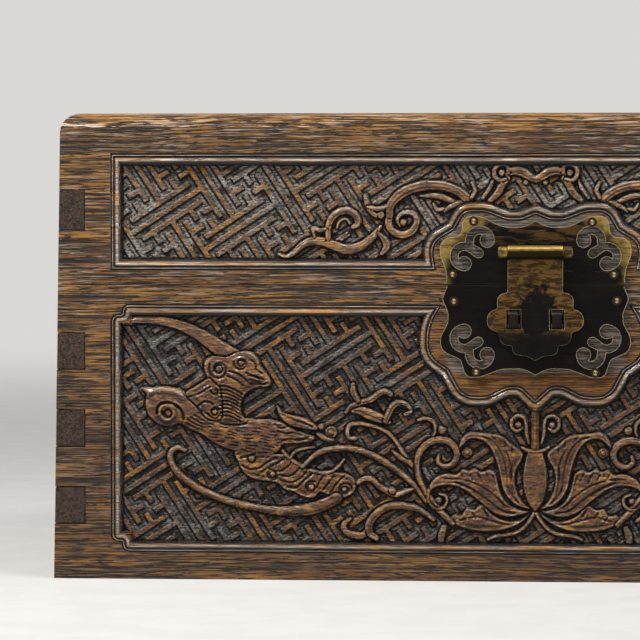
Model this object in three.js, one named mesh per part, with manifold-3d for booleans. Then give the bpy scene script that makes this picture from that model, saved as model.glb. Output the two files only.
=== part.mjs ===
// A carved hardwood document box: a dovetailed case and lid, two carved front panels,
// a lobed brass lock set whose hasp drops over two staples, two back hinges and two bail handles.
// Millimetres, +Z up. The front faces -Y and the origin is the centre of the underside.

import * as THREE from "three";
import { mergeVertices } from "three/addons/utils/BufferGeometryUtils.js";
import Module from "manifold-3d";

const wasm = await Module();
wasm.setup();

// Case and lid
const boxWidth = 400;
const boxDepth = 230;
const boxHeight = 193.5;
const endLean = 3; // each end leans in by this much over the full height
const caseHeight = 122.5;
const seamGap = 0.3;
const wall = 13;
const arrisRadius = 8; // rounding of the top board's edges

// Dust lip on the inner half of the case's rim, and its rebate in the lid
const lipHeight = 3;
const lipThickness = 6.5;
const lipClearance = 0.3;

// Bottom board, let into a rabbet, and top board, which laps over the lid's walls
const bottomThickness = 8;
const rabbetWidth = 6.5;
const bottomClearance = 0.2;
const topEdge = 3.7;
const plugDepth = 6;
const plugClearance = 0.25;

// Through dovetails: the end boards carry the tails
const caseTails = { first: 22.9, pitch: 32.1, height: 15.2, count: 3 };
const lidTails = { first: 22.3, pitch: 32.1, height: 16.4, count: 1 };
const tailSlope = Math.tan(THREE.MathUtils.degToRad(8));
const jointGap = 0.25;

// Front panels: sunk fields with a groove and a bead round them
const panelHalfWidth = 176.2;
const casePanelBottomRail = 11;
const casePanelTopRail = 8;
const lidPanelBottomRail = 5.5;
const lidPanelTopRail = 16.5;
const cornerStepX = 4.4;
const cornerStepZ = 4;
const cornerStepRadius = 3.5;
const groundDepth = 2.9;
// The moulding, from the groove inwards: [distance in, depth] along each slope
const groove = [
  [0, 0],
  [0.5, 0.85],
];
const bead = [
  [2.3, 0.25],
  [1.6, 0.85],
];
const drop = [
  [3.8, 0.25],
  [4.4, 1],
  [4.9, groundDepth],
];

// Cartouche round the lock: corners of its left half as [x, distance from the rim, rounding],
// from the centre line to the rail
const lidCartouche = [
  [0, 28.2, 0],
  [-6, 25.9, 8.2],
  [-11.9, 25.9, 10.3],
  [-20.8, 29.3, 10.3],
  [-29.1, 29.3, 4.9],
  [-33.1, 22, 3.7],
  [-41.6, 16.9, 5.8],
  [-41.8, 11.8, 12.3],
  [-40.7, lidPanelBottomRail, 0],
];
const caseCartouche = [
  [0, 46.9, 0],
  [-5.9, 41.3, 5.8],
  [-11.5, 41.3, 8.2],
  [-19.9, 45.5, 10.3],
  [-29.5, 45.5, 7.4],
  [-35.4, 34.5, 2.5],
  [-43.5, 29, 8.2],
  [-43.5, 17, 18.5],
  [-38.1, casePanelTopRail, 0],
];

// Main forms carved on the case panel's ground, left half: a bat, a vine and half a lotus.
// Outlines are corners as [x, height above the underside]
const carvingHeight = 1.3;
const seedPod = [
  [0, 53],
  [-2.6, 52.6],
  [-4, 46],
  [-4.2, 41],
  [-3.4, 36],
  [-1.8, 32],
  [0, 30.4],
];
const lotusPetals = [
  [
    [-26, 60.5],
    [-21, 60.2],
    [-14.4, 59.2],
    [-9.6, 55.5],
    [-6.3, 52.6],
    [-6.5, 50.2],
    [-8.5, 46.2],
    [-9.2, 41],
    [-8, 36.3],
    [-6.2, 33],
    [-9, 33],
    [-12.6, 39],
    [-13.8, 44.8],
    [-15.5, 51],
    [-18, 56],
    [-21.8, 59.2],
  ],
  [
    [-42.6, 39.4],
    [-39.6, 42.3],
    [-36, 43.5],
    [-32, 43.1],
    [-27.5, 44.3],
    [-20, 44.5],
    [-17.2, 43.2],
    [-16.2, 40.2],
    [-14.9, 36.4],
    [-12, 32.8],
    [-7, 28.9],
    [-8.8, 27.7],
    [-13, 27.8],
    [-17.4, 29.1],
    [-21, 31.5],
    [-28.4, 37.5],
    [-32.2, 39.8],
    [-36.6, 40.4],
  ],
  [
    [-33, 24.8],
    [-28, 28.4],
    [-22.4, 30],
    [-20.4, 29.4],
    [-18.8, 27.2],
    [-15.4, 25],
    [-9.6, 23.6],
    [-14, 22],
    [-20, 21.4],
    [-26, 21.8],
    [-31, 23.2],
  ],
];
const batForms = [
  [
    [-136.6, 88.4],
    [-135.8, 83.3],
    [-140.3, 80],
    [-143.8, 78],
    [-139.7, 71.8],
    [-136.2, 68.2],
    [-131, 66.7],
    [-124.4, 66.7],
    [-122.6, 70],
    [-123, 73.4],
    [-120.6, 77.8],
    [-110.9, 81.4],
    [-114.2, 87.2],
    [-119, 92.6],
    [-128, 91.2],
  ],
  [
    [-145.4, 66],
    [-138.6, 61.9],
    [-130.6, 56.7],
    [-121.8, 53.7],
    [-112, 52.5],
    [-107.4, 53.9],
    [-104, 58.2],
    [-92.8, 58.8],
    [-98.4, 61.6],
    [-104, 65],
    [-118, 65.7],
    [-131, 65.3],
    [-137.4, 67.4],
    [-142, 71.4],
  ],
  [
    [-122.9, 51.4],
    [-121.5, 47.8],
    [-119.2, 44.4],
    [-114.8, 42.4],
    [-105.6, 40.9],
    [-98.8, 37.5],
    [-94.6, 36],
    [-91.5, 36.2],
    [-88.5, 38.1],
    [-84.4, 36],
    [-77, 36.4],
    [-75.2, 38.8],
    [-78, 42.4],
    [-94.4, 44.8],
    [-103.2, 50.2],
  ],
];
const batRump = { x: -153.3, z: 71.8, radius: 7.4 };
// Bands as [x, height above the underside, half-width] along the middle: the bat's wings and horn,
// the vine, the lotus's outer scroll, an arched leaf and the lily's cup
const carvedBands = [
  [
    [-170, 106.7, 0.4],
    [-164, 107.6, 1],
    [-156, 107.3, 1.3],
    [-150, 106.1, 1.4],
    [-145, 104.4, 1.6],
    [-135, 98.7, 2.3],
    [-127, 93.6, 2.6],
  ],
  [
    [-149, 54.1, 0.5],
    [-151.1, 51.8, 0.7],
    [-150.8, 48.4, 0.8],
    [-144, 40.3, 0.9],
    [-138.5, 37, 0.9],
    [-132, 34.1, 0.9],
    [-125, 31.8, 0.9],
    [-109, 28.8, 1],
    [-101, 28.5, 1.5],
    [-94, 29.2, 1.9],
    [-84, 33.2, 1.6],
  ],
  [
    [-104.6, 68.2, 0.5],
    [-101.5, 66.4, 1.2],
    [-97, 65, 1.4],
    [-93.2, 63.7, 0.8],
  ],
  [
    [-93.8, 49, 0.5],
    [-90.8, 51.6, 0.6],
    [-87, 53.6, 0.7],
    [-82, 54.5, 0.7],
    [-76, 54.4, 0.7],
    [-70, 52.9, 0.7],
    [-60, 47.5, 0.7],
    [-51.5, 40.9, 0.6],
    [-46, 34.6, 0.5],
  ],
  [
    [-36, 25.6, 0.6],
    [-42, 32.2, 0.8],
    [-45.4, 37, 0.7],
    [-47.8, 42, 0.7],
    [-48.7, 47, 0.7],
    [-48, 52, 0.8],
    [-45.2, 55.9, 0.9],
    [-41, 58.1, 1],
    [-36.4, 57.7, 1],
    [-33.4, 55, 0.8],
  ],
  [
    [-68.2, 20, 0.9],
    [-68.2, 23.6, 1.1],
    [-65.3, 27.5, 1.1],
    [-61, 30.3, 1],
    [-55.6, 30.9, 0.9],
    [-47, 28.7, 0.6],
  ],
  [
    [-73, 70.4, 1.2],
    [-68, 68.6, 1.7],
    [-63, 66.6, 1],
  ],
];

// Lock plates: corners of the left half as [x, distance from the rim, rounding]
const plateThickness = 1.5;
const upperPlate = [
  [0, 26.2, 0],
  [-4.9, 23.5, 10.3],
  [-13.5, 23.5, 12.3],
  [-22.6, 28.2, 9.1],
  [-29.8, 28.2, 3.9],
  [-30.6, 19.4, 3.1],
  [-39.3, 19.4, 4.7],
  [-39.3, 12.1, 10.3],
  [-36.9, 6, 6.2],
  [-36.5, 0, 0],
];
const lowerPlate = [
  [0, 37.1, 0],
  [-5.3, 34.4, 9.1],
  [-13.9, 34.7, 10.3],
  [-23, 38.1, 6.2],
  [-28.5, 38.1, 3.3],
  [-30.9, 30.7, 2.5],
  [-39.1, 27.1, 4.9],
  [-39.1, 21.3, 4.9],
  [-36.1, 15.8, 5.8],
  [-35.9, 11.5, 4.9],
  [-38.4, 5.7, 3.3],
  [-36.1, 0, 0],
];
// Pierced scrolls of the upper left corner; the lower ones mirror them about scrollMirror
const scrollMirror = -5.1;
const scrollWidth = 3.2;
const upperScroll = { x: -22.8, z: 18.4, radius: 5.9, from: 0, to: 195 };
const lowerScroll = { x: -29.3, z: 11.8, radius: 5.8, from: 65, to: 275 };
const scrollEyeRadius = 2.9;
const scrollTail = { x: -23.4, z: 13.1, radius: 1.9 };

// Domed nails: [x, height above the seam] of each lock nail
const upperPlateNails = [
  [-25.4, 26.3],
  [23.2, 25.9],
  [-34.1, 4.4],
  [32.2, 4.4],
];
const lowerPlateNails = [
  [-33.5, -6.7],
  [33.4, -6.3],
  [-24.3, -35.8],
  [24.6, -36],
];
const nail = { dome: 1.35, rim: 2.05, rimHeight: 0.45, height: 1.45, shank: 0.8, length: 6 };
const nailClearance = 0.2;

// Hasp, its pin and eyelets
const pivotHeight = 13.6; // above the seam
const knuckleRadius = 2.75;
const knuckleHalfLength = 11.3;
const pinRadius = 1.3;
const pinClearance = 0.1;
const bladeThickness = 1.8;
const bladeGap = 1; // between the blade and the lower lock plate
const haspOutline = [
  [0, -31, 0],
  [-3.6, -29.2, 3.3],
  [-9.2, -28.5, 2.5],
  [-9.5, -24.8, 0.8],
  [-14.3, -24.6, 3.7],
  [-15.1, -19.3, 1.2],
  [-19.7, -17.8, 3.7],
  [-20, -10.1, 4.1],
  [-15.5, -10, 1],
  [-15.9, -3.4, 3.3],
  [-knuckleHalfLength, -3.2, 1.2],
  [-knuckleHalfLength, pivotHeight, 0],
];
const eyelet = { strap: 1.1, width: 3.4, leg: 8 };
const runningGap = 0.3; // sideways, between the parts of a knuckle

// Staples that take the padlock's bar, and the slots in the hasp that drop over them
const staple = { x: 8.9, z: -14.1, inside: 4.5, strap: 1.5, width: 3.9, reach: 9.6, leg: 9 };
const stapleRadius = 2.3;
const slotWidth = 6;
const slotHeight = 8.2;
const holeClearance = 0.2;

// Back hinges
const hingeX = 118;
const leafHalfWidth = 17;
const leafThickness = 1.2;
const hingeKnuckleRadius = 2.6;
const hingePinRadius = 1.2;
const hingeAxisOut = 3.2; // from the back face
const leafOutline = [
  [0, 24, 0],
  [-4.5, 20.5, 4],
  [-13.2, 20.5, 5],
  [-11.8, 9.2, 1.5],
  [-leafHalfWidth, 9, 3],
  [-leafHalfWidth, 0.5, 0],
];
const leafNails = [
  [-13, 5],
  [13, 5],
  [0, 16.5],
];

// Bail handles on the ends
const bailHeight = 74; // of the pivot above the underside
const bailRod = 2;
const bailHalfGrip = 28;
const bailDrop = 34;
const bailCorner = 14;
const bailTurn = 3.5;
const bailEnd = 37.5;
const bailEyeY = 33;
const bailReach = 5.2; // of the pivot from the end's face
const bailLoop = { strap: 1.2, width: 3.6, leg: 8 };
const bailClearance = 0.3;
const rose = { radius: 7, thickness: 1.2, seat: 0.02 };

// Places that follow from the sizes above
const front = -boxDepth / 2;
const back = boxDepth / 2;
const insideX = boxWidth / 2 - wall;
const insideY = boxDepth / 2 - wall;
const lidBottom = caseHeight + seamGap;
const plateFront = front - plateThickness;
const pivotY = plateFront - bladeGap - knuckleRadius;
const pivotZ = caseHeight + pivotHeight;
const hingeY = back + hingeAxisOut;
const hingeZ = caseHeight + seamGap / 2;
const endX = (z) => boxWidth / 2 - (endLean * z) / boxHeight;
const endTilt = Math.atan(endLean / boxHeight);
const bailX = endX(bailHeight) + bailReach;

const arcSteps = 4;

// Mirrors a left half outline, listed from the centre line outwards, into a closed one
function mirrored(half) {
  const other = half.slice(1).map(([x, z, r]) => [-x, z, r]);
  return [...half, ...other.reverse()];
}

// A closed outline with rounded corners, moved inwards by inset. Corners are [x, z, radius]
// anticlockwise. Every inset gives the same number of points, so that loops can be joined.
function roundedLoop(corners, inset = 0, steps = arcSteps) {
  const count = corners.length;
  const at = (i) => corners[(i + count) % count];
  const edge = (i) => {
    const [ax, az] = at(i);
    const [bx, bz] = at(i + 1);
    const length = Math.hypot(bx - ax, bz - az);
    const [dx, dz] = [(bx - ax) / length, (bz - az) / length];
    return { dx, dz, x: ax - dz * inset, z: az + dx * inset };
  };
  const points = [];
  for (let i = 0; i < count; i += 1) {
    const [before, after] = [edge(i - 1), edge(i)];
    const turn = before.dx * after.dz - before.dz * after.dx;
    const run = ((after.x - before.x) * after.dz - (after.z - before.z) * after.dx) / turn;
    const cornerX = before.x + before.dx * run;
    const cornerZ = before.z + before.dz * run;
    const radius = at(i)[2];
    if (radius === 0) {
      points.push(new THREE.Vector2(cornerX, cornerZ));
      continue;
    }
    const rounding = Math.max(radius - Math.sign(turn) * inset, 0);
    const angle = Math.atan2(turn, before.dx * after.dx + before.dz * after.dz);
    const reach = rounding * Math.tan(Math.abs(angle) / 2);
    const side = Math.sign(angle) * rounding;
    const centreX = cornerX - before.dx * reach - before.dz * side;
    const centreZ = cornerZ - before.dz * reach + before.dx * side;
    for (let step = 0; step <= steps; step += 1) {
      const turned = (angle * step) / steps;
      const [cos, sin] = [Math.cos(turned), Math.sin(turned)];
      points.push(
        new THREE.Vector2(
          centreX + side * (before.dz * cos + before.dx * sin),
          centreZ + side * (before.dz * sin - before.dx * cos),
        ),
      );
    }
  }
  return points;
}

// The same points, anticlockwise
function anticlockwise(points) {
  return THREE.ShapeUtils.area(points) < 0 ? [...points].reverse() : points;
}

// A closed three.js geometry as a solid
function toSolid(geometry) {
  const bare = geometry.clone();
  bare.deleteAttribute("normal");
  bare.deleteAttribute("uv");
  const merged = mergeVertices(bare, 1e-4);
  const index = merged.index.array;
  const kept = [];
  for (let i = 0; i < index.length; i += 3) {
    const [a, b, c] = [index[i], index[i + 1], index[i + 2]];
    if (a !== b && b !== c && c !== a) kept.push(a, b, c);
  }
  return new wasm.Manifold(
    new wasm.Mesh({
      numProp: 3,
      vertProperties: new Float32Array(merged.attributes.position.array),
      triVerts: new Uint32Array(kept),
    }),
  );
}

// A solid as a three.js geometry
function toGeometry(solid) {
  const { vertProperties, triVerts, numProp } = solid.getMesh();
  const positions = new Float32Array((vertProperties.length / numProp) * 3);
  for (let i = 0; i < positions.length / 3; i += 1) {
    for (let k = 0; k < 3; k += 1) positions[3 * i + k] = vertProperties[numProp * i + k];
  }
  const geometry = new THREE.BufferGeometry();
  geometry.setAttribute("position", new THREE.BufferAttribute(positions, 3));
  geometry.setIndex(new THREE.BufferAttribute(new Uint32Array(triVerts), 1));
  const flat = geometry.toNonIndexed();
  flat.computeVertexNormals();
  return flat;
}

const fuse = (solids) => solids.reduce((sum, solid) => sum.add(solid));
const cutAll = (solid, cutters) => cutters.reduce((rest, cutter) => rest.subtract(cutter), solid);

function blockGeometry([x0, x1], [y0, y1], [z0, z1]) {
  const geometry = new THREE.BoxGeometry(x1 - x0, y1 - y0, z1 - z0);
  return geometry.translate((x0 + x1) / 2, (y0 + y1) / 2, (z0 + z1) / 2);
}
const block = (x, y, z) => toSolid(blockGeometry(x, y, z));

// A flat outline in X and Z, carried along Y
function plateGeometry(outline, [y0, y1]) {
  const shape = Array.isArray(outline) ? new THREE.Shape(outline) : outline;
  const options = { depth: y1 - y0, bevelEnabled: false, steps: 1, curveSegments: 8 };
  const geometry = new THREE.ExtrudeGeometry(shape, options);
  return geometry.rotateX(Math.PI / 2).translate(0, y1, 0);
}
const plate = (outline, y) => toSolid(plateGeometry(outline, y));

// A flat outline in Y and Z, carried along X
function sliceGeometry(outline, [x0, x1]) {
  const shape = Array.isArray(outline) ? new THREE.Shape(outline) : outline;
  const options = { depth: x1 - x0, bevelEnabled: false, steps: 1, curveSegments: 8 };
  const geometry = new THREE.ExtrudeGeometry(shape, options);
  const [alongY, alongZ, alongX] = [
    new THREE.Vector3(0, 1, 0),
    new THREE.Vector3(0, 0, 1),
    new THREE.Vector3(1, 0, 0),
  ];
  const turn = new THREE.Matrix4().makeBasis(alongY, alongZ, alongX);
  return geometry.applyMatrix4(turn).translate(x0, 0, 0);
}
const slice = (outline, x) => toSolid(sliceGeometry(outline, x));

function rodAlongX(radius, [x0, x1], y, z, sides = 20) {
  const geometry = new THREE.CylinderGeometry(radius, radius, x1 - x0, sides);
  return toSolid(geometry.rotateZ(Math.PI / 2).translate((x0 + x1) / 2, y, z));
}

function rodAlongY(radius, x, [y0, y1], z, sides = 10) {
  const geometry = new THREE.CylinderGeometry(radius, radius, y1 - y0, sides);
  return toSolid(geometry.translate(x, (y0 + y1) / 2, z));
}

// The outside of the whole box: leaning ends and rounded top edges
function envelope() {
  const across = [
    [-endX(0), 0, 0],
    [endX(0), 0, 0],
    [endX(boxHeight), boxHeight, arrisRadius],
    [-endX(boxHeight), boxHeight, arrisRadius],
  ];
  const along = [
    [front, 0, 0],
    [back, 0, 0],
    [back, boxHeight, arrisRadius],
    [front, boxHeight, arrisRadius],
  ];
  const ends = plate(roundedLoop(across, 0, 6), [front - 1, back + 1]);
  return ends.intersect(slice(roundedLoop(along, 0, 6), [-boxWidth, boxWidth]));
}
const outside = envelope();

// One tail at one corner, widening towards the face of the front or back board
function tail(sideX, sideY, z, height, gap) {
  const centre = z + height / 2;
  const wide = height / 2 + gap;
  const narrow = wide - wall * tailSlope;
  const face = sideY * (boxDepth / 2 + 1);
  const shoulder = sideY * insideY;
  const flare = wide + tailSlope;
  const outline = [
    new THREE.Vector2(shoulder, centre - narrow),
    new THREE.Vector2(face, centre - flare),
    new THREE.Vector2(face, centre + flare),
    new THREE.Vector2(shoulder, centre + narrow),
  ];
  if (sideY < 0) outline.reverse();
  const reach = [insideX - gap, boxWidth / 2 + 1];
  const x = sideX > 0 ? reach : [-reach[1], -reach[0]];
  return slice(outline, x);
}

function tailsOf(set, bottom, sideX, sideY, gap) {
  const starts = Array.from({ length: set.count }, (_, i) => bottom + set.first + i * set.pitch);
  return starts.map((z) => tail(sideX, sideY, z, set.height, gap));
}

// A solid whose outline, moved in by the distance given, changes with the depth from the front
function stack(corners, steps) {
  const rings = steps.map(([inset, depth]) =>
    roundedLoop(corners, inset).map((p) => new THREE.Vector3(p.x, front + depth, p.y)),
  );
  const count = rings[0].length;
  const positions = rings.flatMap((ring) => ring.flatMap((p) => [p.x, p.y, p.z]));
  const index = [];
  for (let ring = 0; ring < rings.length - 1; ring += 1) {
    for (let i = 0; i < count; i += 1) {
      const a = ring * count + i;
      const b = ring * count + ((i + 1) % count);
      index.push(a, a + count, b, b, a + count, b + count);
    }
  }
  for (const [ring, outwards] of [
    [0, true],
    [rings.length - 1, false],
  ]) {
    const own = rings[ring].map((p, i) => [i, p]);
    const apart = own.filter(([i, p]) => p.distanceTo(own[(i + 1) % count][1]) > 1e-3);
    const flat = apart.map(([, p]) => new THREE.Vector2(p.x, p.z));
    for (const [a, b, c] of THREE.ShapeUtils.triangulateShape(flat, [])) {
      const [i, j, k] = [a, b, c].map((n) => ring * count + apart[n][0]);
      index.push(...(outwards ? [i, j, k] : [i, k, j]));
    }
  }
  const geometry = new THREE.BufferGeometry();
  geometry.setAttribute("position", new THREE.Float32BufferAttribute(positions, 3));
  geometry.setIndex(index);
  return toSolid(geometry);
}

// The sunk field of a panel, from outside the face down to the ground, less what stands
// round the lock: a groove, a bead that stays proud in it, and the drop to the ground
function sunkField(panel, cartouche) {
  const between = (slope, above, below) => {
    const [first, last] = [slope[0], slope[slope.length - 1]];
    const field = [[first[0], first[1] - above], ...slope, [last[0], last[1] + below]];
    const steps = field.filter(([, depth], i) => i === 0 || depth > field[i - 1][1]);
    const proud = [[first[0], -2], ...slope, [last[0], groundDepth + 1]];
    const hill = proud.map(([inset, depth]) => [-inset, depth]);
    return stack(panel, steps).subtract(stack(cartouche, hill));
  };
  const cut = between(groove, 1, 0);
  return cut.subtract(between(bead, 0, 1)).add(between(drop, 1, 0));
}

// The outline of a band along points [x, z, half-width]
function bandOutline(points) {
  const edge = (way) =>
    points.map(([x, z, half], i) => {
      const [ax, az] = points[Math.max(i - 1, 0)];
      const [bx, bz] = points[Math.min(i + 1, points.length - 1)];
      const out = (way * half) / Math.hypot(bx - ax, bz - az);
      return [x + (bz - az) * out, z - (bx - ax) * out];
    });
  return [...edge(1), ...edge(-1).reverse()];
}

// The main carved forms, standing on the case panel's ground, within its edges
function carvedForms() {
  const pod = [...seedPod, ...seedPod.slice(1, -1).map(([x, z]) => [-x, z]).reverse()];
  const bands = carvedBands.map(bandOutline);
  const left = [...lotusPetals, ...batForms, ...bands, disc(batRump, 12)];
  const right = left.map((outline) => outline.map(([x, z]) => [-x, z]));
  const ground = front + groundDepth;
  const forms = [pod, ...left, ...right].map((outline) => {
    const points = outline.map(([x, z]) => new THREE.Vector2(x, z));
    return plate(anticlockwise(points), [ground - carvingHeight, ground + 1]);
  });
  const edges = block(
    [-panelHalfWidth, panelHalfWidth],
    [front, ground + 2],
    [casePanelBottomRail, caseHeight - casePanelTopRail],
  );
  return fuse(forms).intersect(edges);
}

// The case panel's corners step in; the lid panel's are square
function casePanel() {
  const [low, high] = [casePanelBottomRail, caseHeight - casePanelTopRail];
  const step = -panelHalfWidth + cornerStepX;
  const left = [
    [step, high, cornerStepRadius],
    [step, high - cornerStepZ, 0],
    [-panelHalfWidth, high - cornerStepZ, cornerStepRadius],
    [-panelHalfWidth, low + cornerStepZ, cornerStepRadius],
    [step, low + cornerStepZ, 0],
    [step, low, cornerStepRadius],
  ];
  return [...left, ...left.map(([x, z, r]) => [-x, z, r]).reverse()];
}

function lidPanel() {
  const [low, high] = [lidBottom + lidPanelBottomRail, boxHeight - lidPanelTopRail];
  return [
    [-panelHalfWidth, high, 0],
    [-panelHalfWidth, low, 0],
    [panelHalfWidth, low, 0],
    [panelHalfWidth, high, 0],
  ];
}

// A cartouche, carried on past the panel's edge to the rim: way is 1 above the seam, -1 below
function cartouche(half, rim, way) {
  const [footX] = half[half.length - 1];
  const left = [...half, [footX, 0, 0]];
  const turned = left.map(([x, away, r]) => [x * way, rim + way * away, r]);
  return mirrored(turned);
}

// Profiles of the bent loops, seen from the side: u is outwards from the pivot, v is up.
// A cotter loop has a round eye and a double shank, whose legs are clenched on the far side.
function cotterShape(loop, eye, reach, through) {
  const half = loop.strap;
  const outer = eye + loop.strap;
  const start = Math.PI - Math.asin(half / outer);
  const far = reach + through;
  const shape = new THREE.Shape();
  shape.absarc(0, 0, outer, -start, start, false);
  shape.lineTo(-far, half);
  shape.lineTo(-far, half + loop.leg);
  shape.lineTo(-far - loop.strap, half + loop.leg - loop.strap);
  shape.lineTo(-far - loop.strap, -half - loop.leg + loop.strap);
  shape.lineTo(-far, -half - loop.leg);
  shape.lineTo(-far, -half);
  const hole = new THREE.Path();
  hole.absarc(0, 0, eye, 0, 2 * Math.PI, true);
  shape.holes.push(hole);
  return shape;
}

// A staple: a squared U with its two legs clenched apart
function stapleShape(through) {
  const high = staple.inside / 2 + staple.strap;
  const inner = staple.inside / 2;
  const far = -through;
  const tip = high + staple.leg;
  return new THREE.Shape(
    roundedLoop([
      [far, high, 0],
      [far, tip, 0],
      [far - staple.strap, tip - staple.strap, 0],
      [far - staple.strap, inner, 0],
      [staple.reach - staple.strap, inner, stapleRadius - staple.strap],
      [staple.reach - staple.strap, -inner, stapleRadius - staple.strap],
      [far - staple.strap, -inner, 0],
      [far - staple.strap, -tip + staple.strap, 0],
      [far, -tip, 0],
      [far, -high, 0],
      [staple.reach, -high, stapleRadius],
      [staple.reach, high, stapleRadius],
    ]),
  );
}

// Metal loops and the slots that let them through
const eyeletX = knuckleHalfLength + runningGap + eyelet.width / 2;
const eyeletReach = plateFront - pivotY;
const frontThrough = plateThickness + wall;

function crossSlot(x, halfX, z, halfZ) {
  const y = [plateFront - 1, -insideY + 1];
  const [hx, hz] = [halfX + holeClearance, halfZ + holeClearance];
  return block([x - hx, x + hx], y, [z - hz, z + hz]);
}

const eyeletSlots = [-1, 1].map((side) =>
  crossSlot(side * eyeletX, eyelet.width / 2, pivotZ, eyelet.strap),
);
const stapleZ = caseHeight + staple.z;
const stapleSlots = [-1, 1].flatMap((side) =>
  [-1, 1].map((way) =>
    crossSlot(
      side * staple.x,
      staple.width / 2,
      stapleZ + (way * (staple.inside + staple.strap)) / 2,
      staple.strap / 2,
    ),
  ),
);

const seamPoint = ([x, up]) => [x, caseHeight + up];
const lockNailHoles = (nails) =>
  nails
    .map(seamPoint)
    .map(([x, z]) =>
      rodAlongY(nail.shank + nailClearance, x, [plateFront - 1, front + nail.length], z),
    );
const leafNailPlaces = (up) =>
  [-hingeX, hingeX].map((x) => leafNails.map(([dx, h]) => [x + dx, hingeZ + up * h]));
const leafNailHoles = (up) =>
  leafNailPlaces(up)
    .flat()
    .map(([x, z]) =>
      rodAlongY(nail.shank + nailClearance, x, [back - nail.length, back + leafThickness + 1], z),
    );

// Boards of one tray: a front and a back board, cut for the tails of two end boards
function trayBoards(set, bottom, profile) {
  const { z, inner } = profile;
  const long = (side) => {
    const outer = side * (boxDepth / 2);
    const sort = (a, b) => (a < b ? [a, b] : [b, a]);
    const body = block([-boxWidth / 2, boxWidth / 2], sort(outer, side * insideY), z);
    const lipX = insideX + lipThickness;
    const lipY = sort(side * insideY, side * (insideY + lipThickness));
    return { body, lip: inner && block([-lipX, lipX], lipY, inner) };
  };
  const sockets = (side) =>
    [-1, 1].flatMap((end) => tailsOf(set, bottom, end, side, jointGap));
  return { long, sockets };
}

const caseTray = trayBoards(caseTails, 0, {
  z: [0, caseHeight],
  inner: [caseHeight - 1, caseHeight + lipHeight],
});
const lidWallTop = boxHeight - topEdge;
const lidTray = trayBoards(lidTails, lidBottom, { z: [lidBottom, lidWallTop] });

// The rabbet for the bottom board, and the rebate in the lid for the dust lip
const rabbet = block(
  [-insideX - rabbetWidth, insideX + rabbetWidth],
  [-insideY - rabbetWidth, insideY + rabbetWidth],
  [-1, bottomThickness],
);
const rebateHalf = [insideX, insideY].map((half) => half + lipThickness + lipClearance);
const rebate = block(
  [-rebateHalf[0], rebateHalf[0]],
  [-rebateHalf[1], rebateHalf[1]],
  [lidBottom - 1, caseHeight + lipHeight + lipClearance],
);

function caseLongBoard(side, cutters) {
  const { body, lip } = caseTray.long(side);
  const whole = body.add(lip).intersect(outside);
  return cutAll(whole, [rabbet, ...caseTray.sockets(side), ...cutters]);
}

function lidLongBoard(side, cutters) {
  const whole = lidTray.long(side).body.intersect(outside);
  return cutAll(whole, [rebate, ...lidTray.sockets(side), ...cutters]);
}

function caseEndBoard(end) {
  const sort = (a, b) => (a < b ? [a, b] : [b, a]);
  const body = block(
    sort(end * insideX, (end * boxWidth) / 2),
    [-insideY, insideY],
    [0, caseHeight],
  );
  const lip = block(
    sort(end * insideX, end * (insideX + lipThickness)),
    [-insideY, insideY],
    [caseHeight - 1, caseHeight + lipHeight],
  );
  const tails = [-1, 1].flatMap((side) => tailsOf(caseTails, 0, end, side, 0));
  const whole = fuse([body, lip, ...tails]).intersect(outside);
  const slots = [-1, 1].map((side) => {
    const halfY = bailLoop.width / 2 + holeClearance;
    const halfZ = bailLoop.strap + holeClearance;
    return block(
      sort(end * (insideX - 1), end * (boxWidth / 2 + 1)),
      [side * bailEyeY - halfY, side * bailEyeY + halfY],
      [bailHeight - halfZ, bailHeight + halfZ],
    );
  });
  return cutAll(whole, [rabbet, ...slots]);
}

function lidEndBoard(end) {
  const sort = (a, b) => (a < b ? [a, b] : [b, a]);
  const body = block(
    sort(end * insideX, (end * boxWidth) / 2),
    [-insideY, insideY],
    [lidBottom, lidWallTop],
  );
  const tails = [-1, 1].flatMap((side) => tailsOf(lidTails, lidBottom, end, side, 0));
  return fuse([body, ...tails]).intersect(outside).subtract(rebate);
}

function lidTopBoard() {
  const cover = block(
    [-boxWidth / 2, boxWidth / 2],
    [front, back],
    [lidWallTop, boxHeight],
  );
  const [plugX, plugY] = [insideX - plugClearance, insideY - plugClearance];
  const plug = block([-plugX, plugX], [-plugY, plugY], [lidWallTop - plugDepth, boxHeight - 1]);
  return cover.add(plug).intersect(outside);
}

function bottomBoard() {
  const half = [insideX, insideY].map((inside) => inside + rabbetWidth - bottomClearance);
  return blockGeometry([-half[0], half[0]], [-half[1], half[1]], [0, bottomThickness]);
}

// A ring sector, in degrees anticlockwise from +X
function sector({ x, z, radius, from, to }, width) {
  const steps = 10;
  const angles = Array.from({ length: steps + 1 }, (_, i) =>
    THREE.MathUtils.degToRad(from + ((to - from) * i) / steps),
  );
  const ring = (r) => angles.map((a) => [x + r * Math.cos(a), z + r * Math.sin(a)]);
  return [...ring(radius), ...ring(radius - width).reverse()];
}

function disc({ x, z, radius }, sides = 14) {
  return Array.from({ length: sides }, (_, i) => {
    const angle = (2 * Math.PI * i) / sides;
    return [x + radius * Math.cos(angle), z + radius * Math.sin(angle)];
  });
}

// A straight stroke between two round ends
function stroke(a, b) {
  const along = Math.atan2(b.z - a.z, b.x - a.x);
  const end = (c, turn) =>
    Array.from({ length: 6 }, (_, i) => {
      const angle = along + turn + (Math.PI * i) / 5;
      return [c.x + c.radius * Math.cos(angle), c.z + c.radius * Math.sin(angle)];
    });
  return [...end(b, -Math.PI / 2), ...end(a, Math.PI / 2)];
}

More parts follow.
